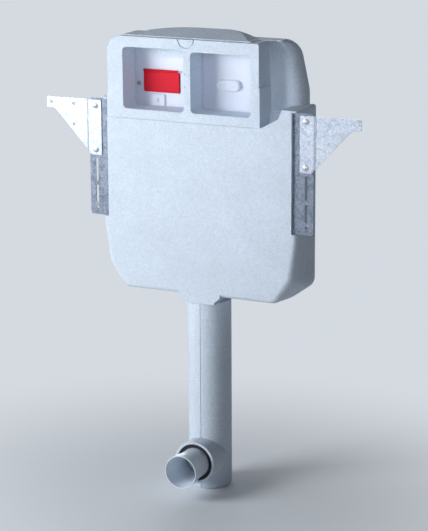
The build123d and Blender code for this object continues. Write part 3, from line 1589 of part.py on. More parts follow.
def make_jacket(side):
    with BuildPart() as jacket:
        with BuildSketch(Plane.XY.offset(-jacket_bottom)):
            with Locations((0, pipe_y)):
                Circle(jacket_r)
        extrude(amount=jacket_top_z + jacket_bottom)
        fillet(jacket.faces().sort_by(Axis.Z)[0].edges(), jacket_edge_r)
        with BuildSketch(wall_plane(pipe_y)):
            Circle(jacket_r)
        extrude(amount=pipe_y - collar_y)
        add(
            pipe_solid(pipe_r + seat_gap, collar_hole_r, jacket_top_z + overrun, collar_y - overrun),
            mode=Mode.SUBTRACT,
        )
        split(bisect_by=side_plane(side * jacket_seam / 2), keep=Keep.TOP if side > 0 else Keep.BOTTOM)
    return jacket.part


for side, name in ((-1, "jacket_left"), (1, "jacket_right")):
    jacket_part = make_jacket(side)
    jacket_part.label = name
    export_step(jacket_part, "parts/" + name + ".step")

# Black lip seal in the socket and the outlet spigot that slides in it

with BuildPart() as outlet_seal:
    with BuildSketch(wall_plane(socket_y + seal_depth)):
        Circle(socket_r - socket_wall - running_gap)
        Circle(spigot_r + running_gap, mode=Mode.SUBTRACT)
    extrude(amount=seal_depth)
    with BuildSketch(wall_plane(socket_y)):
        Circle(socket_r)
        Circle(spigot_r + running_gap, mode=Mode.SUBTRACT)
    extrude(amount=seal_flange)
outlet_seal.part.label = "outlet_seal"
export_step(outlet_seal.part, "parts/outlet_seal.step")

with BuildPart() as outlet_spigot:
    with BuildSketch(Plane.YZ):
        with BuildLine():
            Polyline(
                (0, mouth_r),
                (mouth_rim, mouth_r),
                (flare_end, spigot_r),
                (spigot_inner_y, spigot_r),
                (spigot_inner_y, spigot_r - spigot_wall),
                (flare_end, spigot_r - spigot_wall),
                (mouth_rim, mouth_r - spigot_wall),
                (0, mouth_r - spigot_wall),
                close=True,
            )
        make_face()
    revolve(axis=Axis.Y)
outlet_spigot.part.label = "outlet_spigot"
export_step(outlet_spigot.part, "parts/outlet_spigot.step")
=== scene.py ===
import json
from math import cos, pi, radians, sin, tan

import bmesh
import bpy
from mathutils import Matrix, Quaternion, Vector


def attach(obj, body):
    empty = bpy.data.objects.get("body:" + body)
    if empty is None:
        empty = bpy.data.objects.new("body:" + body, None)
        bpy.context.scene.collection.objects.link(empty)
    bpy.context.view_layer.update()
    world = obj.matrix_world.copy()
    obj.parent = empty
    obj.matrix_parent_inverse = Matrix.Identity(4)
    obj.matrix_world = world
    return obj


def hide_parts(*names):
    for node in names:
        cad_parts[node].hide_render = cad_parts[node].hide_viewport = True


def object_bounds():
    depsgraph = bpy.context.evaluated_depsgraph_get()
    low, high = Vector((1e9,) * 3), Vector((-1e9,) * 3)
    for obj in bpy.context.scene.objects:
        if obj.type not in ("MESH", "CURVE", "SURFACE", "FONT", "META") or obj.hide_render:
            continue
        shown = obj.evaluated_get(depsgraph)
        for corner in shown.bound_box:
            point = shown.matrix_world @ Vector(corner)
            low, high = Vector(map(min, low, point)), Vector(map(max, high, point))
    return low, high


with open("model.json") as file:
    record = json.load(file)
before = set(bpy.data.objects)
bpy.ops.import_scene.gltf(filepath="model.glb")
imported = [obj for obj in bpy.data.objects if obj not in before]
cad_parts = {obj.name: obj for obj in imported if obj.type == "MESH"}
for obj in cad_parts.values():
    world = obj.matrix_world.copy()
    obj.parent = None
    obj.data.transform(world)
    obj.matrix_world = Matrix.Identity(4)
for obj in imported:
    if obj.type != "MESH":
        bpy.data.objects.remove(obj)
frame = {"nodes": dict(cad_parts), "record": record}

cadBox = [list(corner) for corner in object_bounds()]
mm = 0.001
scene = bpy.context.scene
scene.view_settings.view_transform = "Standard"

# Camera, lamps and floor

photoCamera = {
    "azimuth": 25.76,  # degrees
    "elevation": 14.23,
    "roll": -0.33,
    "distance": 3.856,
    "target": (0.0296, 0.090, 0.385),
    "lens": 139.66,
    "sensor": 36.0,  # along the long side of the picture
}


def placeCamera(setup):
    azimuth, elevation = radians(setup["azimuth"]), radians(setup["elevation"])
    back = Vector((sin(azimuth) * cos(elevation), -cos(azimuth) * cos(elevation), sin(elevation)))
    data = bpy.data.cameras.new("photoCamera")
    data.lens = setup["lens"]
    data.sensor_width = setup["sensor"]
    camera = bpy.data.objects.new("photoCamera", data)
    camera.location = Vector(setup["target"]) + back * setup["distance"]
    camera.rotation_mode = "QUATERNION"
    upright = (-back).to_track_quat("-Z", "Y")
    camera.rotation_quaternion = upright @ Quaternion((0, 0, 1), radians(setup["roll"]))
    scene.collection.objects.link(camera)
    scene.camera = camera


softLamps = {
    "key": {"place": (-1.20, -1.35, 0.92), "aim": (-0.05, 0.09, 0.42), "size": 1.0, "spread": 180,
            "power": 32.0, "colour": (0.92, 0.96, 1.0)},
    "front": {"place": (0.9, -3.8, 1.2), "aim": (0.0, 0.09, 0.42), "size": 2.2, "spread": 180,
              "power": 3.2, "colour": (0.84, 0.92, 1.0)},
    "upper": {"place": (1.15, -2.1, 1.3), "aim": (0.02, 0.10, 0.74), "size": 0.5, "spread": 24,
              "power": 0.30, "colour": (0.84, 0.90, 1.0)},
    "behind": {"place": (-1.5, 3.3, 0.9), "aim": (0.0, 0.09, 0.42), "size": 2.2, "spread": 180,
               "power": 40.0, "colour": (0.95, 0.97, 1.0)},
}


def hangLamps(lamps):
    for name, lamp in lamps.items():
        data = bpy.data.lights.new(name, "AREA")
        data.shape = "SQUARE"
        data.size = lamp["size"]
        data.spread = radians(lamp["spread"])
        data.energy = lamp["power"]
        data.color = lamp["colour"]
        holder = bpy.data.objects.new(name, data)
        holder.location = lamp["place"]
        holder.rotation_mode = "QUATERNION"
        holder.rotation_quaternion = (Vector(lamp["aim"]) - Vector(lamp["place"])).to_track_quat("-Z", "Y")
        scene.collection.objects.link(holder)


def node(tree, kind, inputs=None, **settings):
    made = tree.nodes.new(kind)
    for key, value in settings.items():
        setattr(made, key, value)
    for key, value in (inputs or {}).items():
        if isinstance(value, bpy.types.NodeSocket):
            tree.links.new(value, made.inputs[key])
        else:
            made.inputs[key].default_value = value
    return made


def shaded(colour, share):
    return tuple(share * c for c in colour[:3]) + (1.0,)


studio = {
    "ambient": (0.66, 0.80, 1.0, 1.0),
    "ambientStrength": 0.055,
    "backdrop": (0.66, 0.70, 0.75, 1.0),
    "backdropStrength": 1.0,
    "floorColour": (0.88, 0.90, 0.92, 1.0),
    "floorRadius": 9.0,
    "floorFade": (0.05, 0.9),  # from the shadow under the object out to the backdrop's tone
    "floorDrop": 0.0005,
    "floorSides": 96,
    "floorRoughness": 0.9,
    "floorClouds": {"Scale": 3.0, "Detail": 3.0},
    "cloudShade": 0.985,
}


def seenRay(tree):
    # 1 on what the camera sees, also through glass or in a shiny surface
    path = node(tree, "ShaderNodeLightPath")
    seen = node(tree, "ShaderNodeMath", {0: path.outputs["Is Camera Ray"], 1: path.outputs["Is Glossy Ray"]},
                operation="MAXIMUM")
    return node(tree, "ShaderNodeMath", {0: seen.outputs[0], 1: path.outputs["Is Transmission Ray"]},
                operation="MAXIMUM").outputs[0]


def lightWorld(look):
    world = bpy.data.worlds.new("paleStudio")
    scene.world = world
    world.use_nodes = True
    tree = world.node_tree
    tree.nodes.clear()
    ambient = node(tree, "ShaderNodeBackground",
                   {"Color": look["ambient"], "Strength": look["ambientStrength"]}).outputs[0]
    backdrop = node(tree, "ShaderNodeBackground",
                    {"Color": look["backdrop"], "Strength": look["backdropStrength"]}).outputs[0]
    both = node(tree, "ShaderNodeMixShader", {0: seenRay(tree), 1: ambient, 2: backdrop}).outputs[0]
    node(tree, "ShaderNodeOutputWorld", {"Surface": both})


def layFloor(look, level):
    shape = bmesh.new()
    bmesh.ops.create_circle(shape, cap_ends=True, segments=look["floorSides"], radius=look["floorRadius"])
    bmesh.ops.translate(shape, verts=shape.verts, vec=(0, 0, level - look["floorDrop"]))
    mesh = bpy.data.meshes.new("paleFloor")
    shape.to_mesh(mesh)
    shape.free()
    floor = bpy.data.objects.new("paleFloor", mesh)
    scene.collection.objects.link(floor)
    paint = bpy.data.materials.new("paleFloor")
    paint.use_nodes = True
    tree = paint.node_tree
    shader = tree.nodes["Principled BSDF"]
    shader.inputs["Roughness"].default_value = look["floorRoughness"]
    place = node(tree, "ShaderNodeTexCoord").outputs["Object"]
    cloud = node(tree, "ShaderNodeTexNoise", {"Vector": place, **look["floorClouds"]})
    tone = node(tree, "ShaderNodeMix", {0: cloud.outputs["Fac"], 6: look["floorColour"],
                                        7: shaded(look["floorColour"], look["cloudShade"])}, data_type="RGBA")
    tree.links.new(tone.outputs[2], shader.inputs["Base Color"])
    away = node(tree, "ShaderNodeVectorMath", {0: place}, operation="LENGTH").outputs["Value"]
    near, far = look["floorFade"]
    fade = node(tree, "ShaderNodeMapRange", {"Value": away, "From Min": near, "From Max": far},
                interpolation_type="SMOOTHSTEP").outputs["Result"]
    share = node(tree, "ShaderNodeMath", {0: fade, 1: seenRay(tree)}, operation="MULTIPLY").outputs[0]
    pale = node(tree, "ShaderNodeEmission",
                {"Color": look["backdrop"], "Strength": look["backdropStrength"]}).outputs[0]
    both = node(tree, "ShaderNodeMixShader", {0: share, 1: shader.outputs[0], 2: pale}).outputs[0]
    tree.links.new(both, tree.nodes["Material Output"].inputs["Surface"])
    mesh.materials.append(paint)


placeCamera(photoCamera)
hangLamps(softLamps)
lightWorld(studio)
layFloor(studio, cadBox[0][2])
print("camera, lamps and floor in place")

# Finishes


def newFinish(name, metallic=0.0):
    finish = bpy.data.materials.new(name)
    finish.use_nodes = True
    tree = finish.node_tree
    shader = tree.nodes["Principled BSDF"]
    shader.inputs["Metallic"].default_value = metallic
    place = node(tree, "ShaderNodeTexCoord").outputs["Object"]
    return finish, tree, shader, place


def noise(tree, place, size, detail=3.0):
    return node(tree, "ShaderNodeTexNoise",
                {"Vector": place, "Scale": 1 / size, "Detail": detail}).outputs["Fac"]


def cells(tree, place, size, feature="F1"):
    return node(tree, "ShaderNodeTexVoronoi", {"Vector": place, "Scale": 1 / size}, feature=feature)


def cellTones(tree, place, size):
    # Three random values of each cell
    return node(tree, "ShaderNodeSeparateColor", {"Color": cells(tree, place, size).outputs["Color"]}).outputs


def ranged(tree, value, low, high, toLow, toHigh):
    return node(tree, "ShaderNodeMapRange", {"Value": value, "From Min": low, "From Max": high,
                                             "To Min": toLow, "To Max": toHigh}).outputs["Result"]


def mixed(tree, factor, first, second, how="MIX"):
    return node(tree, "ShaderNodeMix", {0: factor, 6: first, 7: second},
                data_type="RGBA", blend_type=how).outputs[2]


def bump(tree, height, distance, strength=1.0, under=None):
    inputs = {"Height": height, "Distance": distance, "Strength": strength}
    if under is not None:
        inputs["Normal"] = under
    return node(tree, "ShaderNodeBump", inputs).outputs["Normal"]


def softEdge(tree, radius):
    return node(tree, "ShaderNodeBevel", {"Radius": radius}, samples=4).outputs["Normal"]


beadLook = {
    "colour": (0.78, 0.86, 0.96, 1.0),
    "seam": 0.86,  # tone between the beads
    "bead": 4.2 * mm,
    "beadSpread": (0.93, 1.0),
    "seamWidth": 0.11,
    "wobble": 0.0025,
    "wobbleScale": 0.4,
    "wobbleDetail": 1.0,
    "cloud": 0.06,
    "cloudSize": 60 * mm,
    "cloudDetail": 5.0,
    "cloudSpan": (0.3, 0.7),
    "domeWidth": 0.32,
    "relief": 0.35 * mm,
    "reliefStrength": 0.5,
    "grain": 0.5 * mm,
    "grainRelief": 0.05 * mm,
    "grainStrength": 0.6,
    "roughness": (0.55, 0.78),
    "edge": 1.6 * mm,
}


def beadFoam(name, look):
    finish, tree, shader, place = newFinish(name)
    wobble = node(tree, "ShaderNodeTexNoise", {"Vector": place, "Scale": look["wobbleScale"] / look["bead"],
                                               "Detail": look["wobbleDetail"]}).outputs["Color"]
    shifted = node(tree, "ShaderNodeMix", {0: look["wobble"], 4: place, 5: wobble},
                   data_type="VECTOR").outputs[1]
    seams = cells(tree, shifted, look["bead"], "DISTANCE_TO_EDGE").outputs["Distance"]
    tones = cellTones(tree, shifted, look["bead"])
    inside = ranged(tree, seams, 0.0, look["seamWidth"], 0.0, 1.0)
    body = mixed(tree, inside, shaded(look["colour"], look["seam"]), look["colour"])
    perBead = ranged(tree, tones[0], 0.0, 1.0, *look["beadSpread"])
    body = mixed(tree, 1.0, body, perBead, "MULTIPLY")
    clouds = noise(tree, place, look["cloudSize"], look["cloudDetail"])
    body = mixed(tree, 1.0, body, ranged(tree, clouds, *look["cloudSpan"], 1 - look["cloud"], 1.0), "MULTIPLY")
    tree.links.new(body, shader.inputs["Base Color"])
    tree.links.new(ranged(tree, tones[1], 0.0, 1.0, *look["roughness"]), shader.inputs["Roughness"])
    dome = ranged(tree, seams, 0.0, look["domeWidth"], 0.0, 1.0)
    domed = bump(tree, dome, look["relief"], look["reliefStrength"], softEdge(tree, look["edge"]))
    grain = noise(tree, place, look["grain"])
    grained = bump(tree, grain, look["grainRelief"], look["grainStrength"], domed)
    tree.links.new(grained, shader.inputs["Normal"])
    return finish


zincLook = {
    "fleckFrom": 0.35,
    "fleckShare": 0.85,
    "facetStrength": 0.5,
    "grain": 0.6 * mm,
    "grainDetail": 4.0,
    "grainStrength": 0.35,
    "metallic": 0.6,
    "edge": 0.3 * mm,
}
spangleLook = {
    **zincLook,
    "tones": ((0.38, 0.44, 0.56, 1.0), (0.55, 0.59, 0.67, 1.0), (0.72, 0.75, 0.80, 1.0)),
    "spangle": 6.5 * mm,
    "fleck": 2.2 * mm,
    "roughness": (0.30, 0.52),
    "relief": 0.05 * mm,
}
# Rail copy of the galvanised finish: smoother, with darker tones that are painted shade standing in for the
# dark surroundings the rails reflect
shadedRailLook = {
    **zincLook,
    "tones": ((0.12, 0.15, 0.21, 1.0), (0.21, 0.24, 0.30, 1.0), (0.30, 0.33, 0.38, 1.0)),
    "spangle": 9.0 * mm,
    "fleck": 3.0 * mm,
    "roughness": (0.40, 0.55),
    "relief": 0.03 * mm,
}


def galvanised(name, look):
    finish, tree, shader, place = newFinish(name, look["metallic"])
    large = cellTones(tree, place, look["spangle"])
    small = cellTones(tree, place, look["fleck"])
    dark, middle, light = look["tones"]
    flecks = ranged(tree, small[0], look["fleckFrom"], 1.0, 0.0, look["fleckShare"])
    body = mixed(tree, flecks, mixed(tree, large[0], dark, middle), light)
    tree.links.new(body, shader.inputs["Base Color"])
    tree.links.new(ranged(tree, large[1], 0.0, 1.0, *look["roughness"]), shader.inputs["Roughness"])
    facets = bump(tree, large[2], look["relief"], look["facetStrength"], softEdge(tree, look["edge"]))
    grain = noise(tree, place, look["grain"], look["grainDetail"])
    tree.links.new(bump(tree, grain, look["relief"], look["grainStrength"], facets), shader.inputs["Normal"])
    return finish


streakLook = {
    "metallic": 0.9,
    "stretch": (1.0, 1.0, 6.0),
    "streak": 1.1 * mm,
    "detail": 4.0,
    "shade": 0.72,
    "span": (0.2, 0.8),
    "relief": 0.03 * mm,
    "strength": 0.5,
}
platedLooks = {
    "zinc_screw": {**streakLook, "colour": (0.66, 0.67, 0.70, 1.0), "roughness": (0.22, 0.42)},
    "brass": {**streakLook, "colour": (0.72, 0.55, 0.27, 1.0), "roughness": (0.24, 0.40)},
}


def plated(name, look):
    finish, tree, shader, place = newFinish(name, look["metallic"])
    stretched = node(tree, "ShaderNodeMapping", {"Vector": place, "Scale": look["stretch"]}).outputs[0]
    streak = noise(tree, stretched, look["streak"], look["detail"])
    body = mixed(tree, streak, shaded(look["colour"], look["shade"]), look["colour"])
    tree.links.new(body, shader.inputs["Base Color"])
    tree.links.new(ranged(tree, streak, *look["span"], *look["roughness"]), shader.inputs["Roughness"])
    tree.links.new(bump(tree, streak, look["relief"], look["strength"]), shader.inputs["Normal"])
    return finish


mouldLook = {
    "cloudDetail": 4.0,
    "grainDetail": 2.0,
    "grainSpan": (0.3, 0.7),
    "strength": 0.5,
    "glowReach": (4 * mm, 5 * mm, 6 * mm),
    "glowScale": 1.0,
}
mouldedLooks = {
    "tank_plastic": {"colour": (0.80, 0.83, 0.86, 1.0), "shade": 0.93, "cloud": 30 * mm, "grain": 0.7 * mm,
                     "relief": 0.05 * mm, "roughness": (0.42, 0.55), "edge": 1.0 * mm},
    "white_plastic": {"colour": (0.74, 0.77, 0.87, 1.0), "shade": 0.95, "cloud": 22 * mm, "grain": 0.45 * mm,
                      "relief": 0.03 * mm, "roughness": (0.30, 0.42), "edge": 0.6 * mm},
    "grey_plastic": {"colour": (0.36, 0.38, 0.41, 1.0), "shade": 0.85, "cloud": 12 * mm, "grain": 0.4 * mm,
                     "relief": 0.04 * mm, "roughness": (0.38, 0.52), "edge": 0.4 * mm},
    "red_plastic": {"colour": (0.78, 0.012, 0.032, 1.0), "shade": 0.86, "cloud": 14 * mm, "grain": 0.4 * mm,
                    "relief": 0.03 * mm, "roughness": (0.46, 0.60), "edge": 0.5 * mm, "shine": 0.15},
    "black_rubber": {"colour": (0.018, 0.020, 0.024, 1.0), "shade": 0.7, "cloud": 9 * mm, "grain": 0.5 * mm,
                     "relief": 0.05 * mm, "roughness": (0.55, 0.72), "edge": 0.5 * mm},
    "pipe_plastic": {"colour": (0.72, 0.75, 0.79, 1.0), "shade": 0.92, "cloud": 26 * mm, "grain": 0.5 * mm,
                     "relief": 0.03 * mm, "roughness": (0.32, 0.44), "edge": 0.6 * mm},
    "outlet_plastic": {"colour": (0.84, 0.91, 1.0, 1.0), "shade": 0.93, "cloud": 20 * mm, "grain": 0.5 * mm,
                       "relief": 0.02 * mm, "roughness": (0.26, 0.36), "edge": 0.5 * mm, "glow": 0.12},
}


def moulded(name, own):
    look = {**mouldLook, **own}
    finish, tree, shader, place = newFinish(name)
    cloud = noise(tree, place, look["cloud"], look["cloudDetail"])
    grain = noise(tree, place, look["grain"], look["grainDetail"])
    body = mixed(tree, cloud, shaded(look["colour"], look["shade"]), look["colour"])
    tree.links.new(body, shader.inputs["Base Color"])
    tree.links.new(ranged(tree, grain, *look["grainSpan"], *look["roughness"]), shader.inputs["Roughness"])
    rounded = softEdge(tree, look["edge"])
    tree.links.new(bump(tree, grain, look["relief"], look["strength"], rounded), shader.inputs["Normal"])
    if "shine" in look:
        shader.inputs["Specular IOR Level"].default_value = look["shine"]
    if "glow" in look:  # light that gets through a thin wall
        shader.inputs["Subsurface Weight"].default_value = look["glow"]
        shader.inputs["Subsurface Radius"].default_value = look["glowReach"]
        shader.inputs["Subsurface Scale"].default_value = look["glowScale"]
    return finish


finishes = {
    "foam": beadFoam("foam", beadLook),
    "galvanised_steel": galvanised("galvanised_steel", spangleLook),
}
# The rails get the dark copy of the zinc, its darkness painted shade
shadedRailZinc = galvanised("shadedRailZinc", shadedRailLook)
rails = ("rail_left", "rail_right")
finishes.update({name: plated(name, look) for name, look in platedLooks.items()})
finishes.update({name: moulded(name, look) for name, look in mouldedLooks.items()})

for row in frame["record"]["subparts"]:
    mesh = frame["nodes"][row["node"]].data
    mesh.materials.clear()
    mesh.materials.append(shadedRailZinc if row["node"] in rails else finishes[row["material_slot"]])

# Shape helpers

forwards = Matrix.Rotation(pi / 2, 4, "X")  # a shape drawn along Z comes to lie along -Y


def looseObject(name, shape, place=None):
    # A bmesh becomes an object at the origin, with its place in its mesh
    if place is not None:
        bmesh.ops.transform(shape, matrix=place, verts=shape.verts)
    bmesh.ops.recalc_face_normals(shape, faces=shape.faces)
    mesh = bpy.data.meshes.new(name)
    shape.to_mesh(mesh)
    shape.free()
    holder = bpy.data.objects.new(name, mesh)
    scene.collection.objects.link(holder)
    return holder


def newPiece(name, shape, slot, place=None):
    piece = looseObject(name, shape, place)
    piece.data.materials.append(finishes[slot])
    return piece


def discard(holder):
    mesh = holder.data
    bpy.data.objects.remove(holder)
    bpy.data.meshes.remove(mesh)


def addTo(target, other):
    # One bmesh taken into another
    mesh = bpy.data.meshes.new("part")
    other.to_mesh(mesh)
    other.free()
    target.from_mesh(mesh)
    bpy.data.meshes.remove(mesh)


def skin(shape, rings, closed=False):
    # Faces from ring to ring, with a cap at each end or the way back to the first ring
    for low, high in zip(rings, rings[1:] + (rings[:1] if closed else [])):
        for i in range(len(low)):
            j = (i + 1) % len(low)
            shape.faces.new((low[i], low[j], high[j], high[i]))
    if not closed:
        shape.faces.new(rings[0][::-1])
        shape.faces.new(rings[-1])
    return shape


def turned(profile, sides):
    # A closed profile of (radius, height) turned about Z; a radius of 0 closes to a pole
    shape = bmesh.new()
    turns = [2 * pi * i / sides for i in range(sides)]
    rings = []
    for radius, height in profile:
        spots = [(radius * cos(t), radius * sin(t), height) for t in turns] if radius else [(0, 0, height)]
        rings.append([shape.verts.new(spot) for spot in spots])
    for low, high in zip(rings, rings[1:] + rings[:1]):
        if len(low) == 1 and len(high) == 1:
            continue
        for i in range(sides):
            j = (i + 1) % sides
            corners = [low[i % len(low)], low[j % len(low)], high[j % len(high)], high[i % len(high)]]
            shape.faces.new(list(dict.fromkeys(corners)))
    return shape


def roundedProfile(points, radii, steps=6):
    # A closed outline of straight runs with a curve at each corner
    out = []
    count = len(points)
    for i, (corner, radius) in enumerate(zip(points, radii)):
        here = Vector(corner)
        if radius == 0:
            out.append(tuple(here))
            continue
        before = Vector(points[i - 1]) - here
        after = Vector(points[(i + 1) % count]) - here
        reach = radius / tan(before.angle(after) / 2)
        start, end = here + before.normalized() * reach, here + after.normalized() * reach
        for step in range(steps + 1):
            t = step / steps
            out.append(tuple(start * (1 - t) ** 2 + here * (2 * t * (1 - t)) + end * t**2))
    return out


def bar(length, width, depth, top, taper=1.0, turn=0.0):
    # A cutting bar that goes down to its depth below the top, narrower there by the taper
    shape = bmesh.new()
    bmesh.ops.create_cube(shape, size=1.0)
    for vert in shape.verts:
        share = taper if vert.co.z < 0 else 1.0
        vert.co = Vector((vert.co.x * length * share, vert.co.y * width * share, vert.co.z * depth * 2 + top))
    bmesh.ops.rotate(shape, verts=shape.verts, cent=(0, 0, 0), matrix=Matrix.Rotation(turn, 3, "Z"))
    return shape


def smoothFaces(piece, angle=40):
    # Smooth shading, with the edges sharper than the angle kept
    mesh = piece.data
    mesh.polygons.foreach_set("use_smooth", [True] * len(mesh.polygons))
    shape = bmesh.new()
    shape.from_mesh(mesh)
    for edge in shape.edges:
        if len(edge.link_faces) == 2 and edge.calc_face_angle() > radians(angle):
            edge.smooth = False
    shape.to_mesh(mesh)
    shape.free()


def plainMesh(holder):
    # What the modifiers give becomes the holder's own mesh
    graph = bpy.context.evaluated_depsgraph_get()
    mesh = bpy.data.meshes.new_from_object(holder.evaluated_get(graph))
    holder.modifiers.clear()
    holder.data = mesh


def carved(head, cut):
    # The first shape with the second cut out of it
    body = looseObject("head", head)
    cutter = looseObject("cutter", cut)
    recess = body.modifiers.new("recess", "BOOLEAN")
    recess.object = cutter
    recess.operation = "DIFFERENCE"
    recess.solver = "EXACT"
    recess.use_self = True
    plainMesh(body)
    discard(cutter)
    shape = bmesh.new()
    shape.from_mesh(body.data)
    discard(body)
    return shape


def newTree(name, inputs):
    # A Geometry Nodes tree that takes and gives geometry, with more inputs by name
    tree = bpy.data.node_groups.new(name, "GeometryNodeTree")
    for label, kind in {"Geometry": "Geometry", **inputs}.items():
        tree.interface.new_socket(label, in_out="INPUT", socket_type="NodeSocket" + kind)
    tree.interface.new_socket("Geometry", in_out="OUTPUT", socket_type="NodeSocketGeometry")
    return tree, node(tree, "NodeGroupInput").outputs


def copiesOn(tree, given, points, **how):
    # A copy of the item on each point, made real and given its finish
    item = node(tree, "GeometryNodeObjectInfo", {"Object": given["Item"]}, transform_space="ORIGINAL")
    placed = node(tree, "GeometryNodeInstanceOnPoints",
                  {"Points": points, "Instance": item.outputs["Geometry"], **how})
    solid = node(tree, "GeometryNodeRealizeInstances", {"Geometry": placed.outputs["Instances"]})
    coated = node(tree, "GeometryNodeSetMaterial",
                  {"Geometry": solid.outputs["Geometry"], "Material": given["Finish"]})
    return coated.outputs["Geometry"]


def runTree(holder, tree, values):
    # What the tree makes of the holder with these values becomes its mesh
    modifier = holder.modifiers.new(tree.name, "NODES")
    modifier.node_group = tree
    for socket in tree.interface.items_tree:
        if socket.in_out == "INPUT" and socket.name in values:
            modifier[socket.identifier] = values[socket.name]
    plainMesh(holder)


# Outlet spigot, drawn as the turned moulding it is

spigot = {
    "tube": 29.0 * mm,
    "wall": 2.2 * mm,
    "mouth": 32.6 * mm,
    "rim": 8.0 * mm,
    "flareEnd": 40.0 * mm,
    "inner": 76.0 * mm,
    "lip": 1.05 * mm,
    "flareRound": 14 * mm,
    "endRound": 0.8 * mm,
    "sides": 128,
}


def makeSpigot(size):
    tube, mouth, wall = size["tube"], size["mouth"], size["wall"]
    rim, flareEnd, inner = -size["rim"], -size["flareEnd"], -size["inner"]
    lip, flare, end = size["lip"], size["flareRound"], size["endRound"]
    profile = [
        (mouth - wall, 0), (mouth, 0), (mouth, rim), (tube, flareEnd), (tube, inner),
        (tube - wall, inner), (tube - wall, flareEnd), (mouth - wall, rim),
    ]
    shape = turned(roundedProfile(profile, [lip, lip, flare, flare, end, end, flare, flare]), size["sides"])
    piece = newPiece("spigotMoulding", shape, "outlet_plastic", forwards)
    smoothFaces(piece)
    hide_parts("outlet_spigot")
    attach(piece, "outlet_spigot")


makeSpigot(spigot)
print("outlet spigot turned")

# Outlet seal, a rubber ring with two raised lips

outletSeal = {
    "bore": 29.05 * mm,
    "outer": 36.2 * mm,
    "front": 61.6 * mm,
    "flangeBack": 64.0 * mm,
    "back": 72.0 * mm,
    "sleeve": 34.1 * mm,
    "lipAt": (30.9 * mm, 34.0 * mm),
    "lipHalf": 0.8 * mm,
    "dip": 0.7 * mm,
    "sides": 128,
    "sharp": 25,  # degrees
}


def makeSeal(size):
    # The face lies a little back, and the lips come up to the front
    front, face = -size["front"], -(size["front"] + size["dip"])
    half = size["lipHalf"]
    profile = [(size["bore"], -size["back"]), (size["bore"], face)]
    for middle in size["lipAt"]:
        profile += [(middle - half, face), (middle - half / 2, front),
                    (middle + half / 2, front), (middle + half, face)]
    profile += [(size["outer"], face), (size["outer"], -size["flangeBack"]),
                (size["sleeve"], -size["flangeBack"]), (size["sleeve"], -size["back"])]
    piece = newPiece("sealMoulding", turned(profile, size["sides"]), "black_rubber", forwards)
    smoothFaces(piece, size["sharp"])
    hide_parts("outlet_seal")
    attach(piece, "cistern")


makeSeal(outletSeal)
print("outlet seal turned")

# Bracket bolts: each of the four points of a grid carries one bolt

bracketBolts = {
    "across": 432.0 * mm,
    "up": (586.9 * mm, 671.5 * mm),
    "headTop": 84.4 * mm,
    "headBack": 87.0 * mm,
    "headRadius": 5.0 * mm,
    "headRim": 0.5 * mm,
    "headSides": 48,
    "headSteps": 7,
    "washer": (6.0 * mm, 87.0 * mm, 88.0 * mm),  # radius, front and back
    "washerRound": 0.2 * mm,
    "washerSides": 40,
    "washerSteps": 3,
    "nut": (8.0 * mm, 92.0 * mm, 96.0 * mm),  # across the flats, front and back
    "nutFaceShare": 0.985,
    "nutBoreShare": 0.98,
    "nutChamferShare": 0.5,
    "nutSides": 48,
    "end": 100.0 * mm,
    "shank": 2.5 * mm,
    "pitch": 0.8 * mm,
    "threadDepth": 0.42 * mm,
    "threadEndShare": 0.4,
    "threadSides": 20,
    "threadSteps": 6,  # to one turn
    "recess": (5.2 * mm, 1.0 * mm, 1.5 * mm),  # length and width of each arm, and depth
    "recessTaper": 0.55,
    "seed": 7,
    "sharp": 35,  # degrees
}


def threaded(size, length):
    # A shank with a helical thread along Z
    radius, pitch, depth = size["shank"], size["pitch"], size["threadDepth"]
    sides = size["threadSides"]
    shape = bmesh.new()
    count = round(length / pitch * size["threadSteps"])
    rings = []
    for level in range(count + 1):
        z = length * level / count
        ring = []
        for i in range(sides):
            turn = 2 * pi * i / sides
            phase = (z / pitch + i / sides) % 1.0
            r = radius - depth * (1 - abs(2 * phase - 1)) * min(1.0, (length - z) / pitch)
            if level == count:
                r -= size["threadEndShare"] * depth
            ring.append(shape.verts.new((r * cos(turn), r * sin(turn), z)))
        rings.append(ring)
    return skin(shape, rings)


def domedHead(size, height):
    # The seat of the head is at 0
    radius, rim, steps = size["headRadius"], size["headRim"], size["headSteps"]
    profile = [(0, 0), (radius, 0), (radius, rim)]
    for step in range(1, steps):
        t = step / steps * pi / 2
        profile.append((radius * cos(t), rim + (height - rim) * sin(t)))
    return turned(profile + [(0, height)], size["headSides"])


def hexNut(size, low, high):
    # Six flats with the corners turned down, and an open bore
    half = size["nut"][0] / 2
    corner = half / cos(pi / 6)
    chamfer = (corner - half) * size["nutChamferShare"]
    face, bore = half * size["nutFaceShare"], size["shank"] * size["nutBoreShare"]
    shape = bmesh.new()
    rings = []
    for height, limit in [(low, bore), (low, face), (low + chamfer, corner),
                          (high - chamfer, corner), (high, face), (high, bore)]:
        ring = []
        for i in range(size["nutSides"]):
            turn = 2 * pi * i / size["nutSides"]
            r = min(half / cos((turn + pi / 6) % (pi / 3) - pi / 6), limit)
            ring.append(shape.verts.new((r * cos(turn), r * sin(turn), height)))
        rings.append(ring)
    return skin(shape, rings, closed=True)


def makeBolt(size):
    # Drawn along Z with the head up and the seat of the head at 0
    seat = size["headBack"]
    height = seat - size["headTop"]
    cross = bmesh.new()
    for turn in (0, pi / 2):
        addTo(cross, bar(*size["recess"], height, size["recessTaper"], turn))
    shape = carved(domedHead(size, height), cross)
    radius, front, back = size["washer"]
    rim = size["washerRound"]
    outline = [(size["shank"], seat - back), (radius, seat - back),
               (radius, seat - front), (size["shank"], seat - front)]
    addTo(shape, turned(roundedProfile(outline, [0, rim, rim, 0], size["washerSteps"]), size["washerSides"]))
    addTo(shape, hexNut(size, seat - size["nut"][2], seat - size["nut"][1]))
    shank = threaded(size, size["end"] - seat)
    bmesh.ops.rotate(shank, verts=shank.verts, cent=(0, 0, 0), matrix=Matrix.Rotation(pi, 3, "X"))
    addTo(shape, shank)
    return looseObject("bolt", shape)


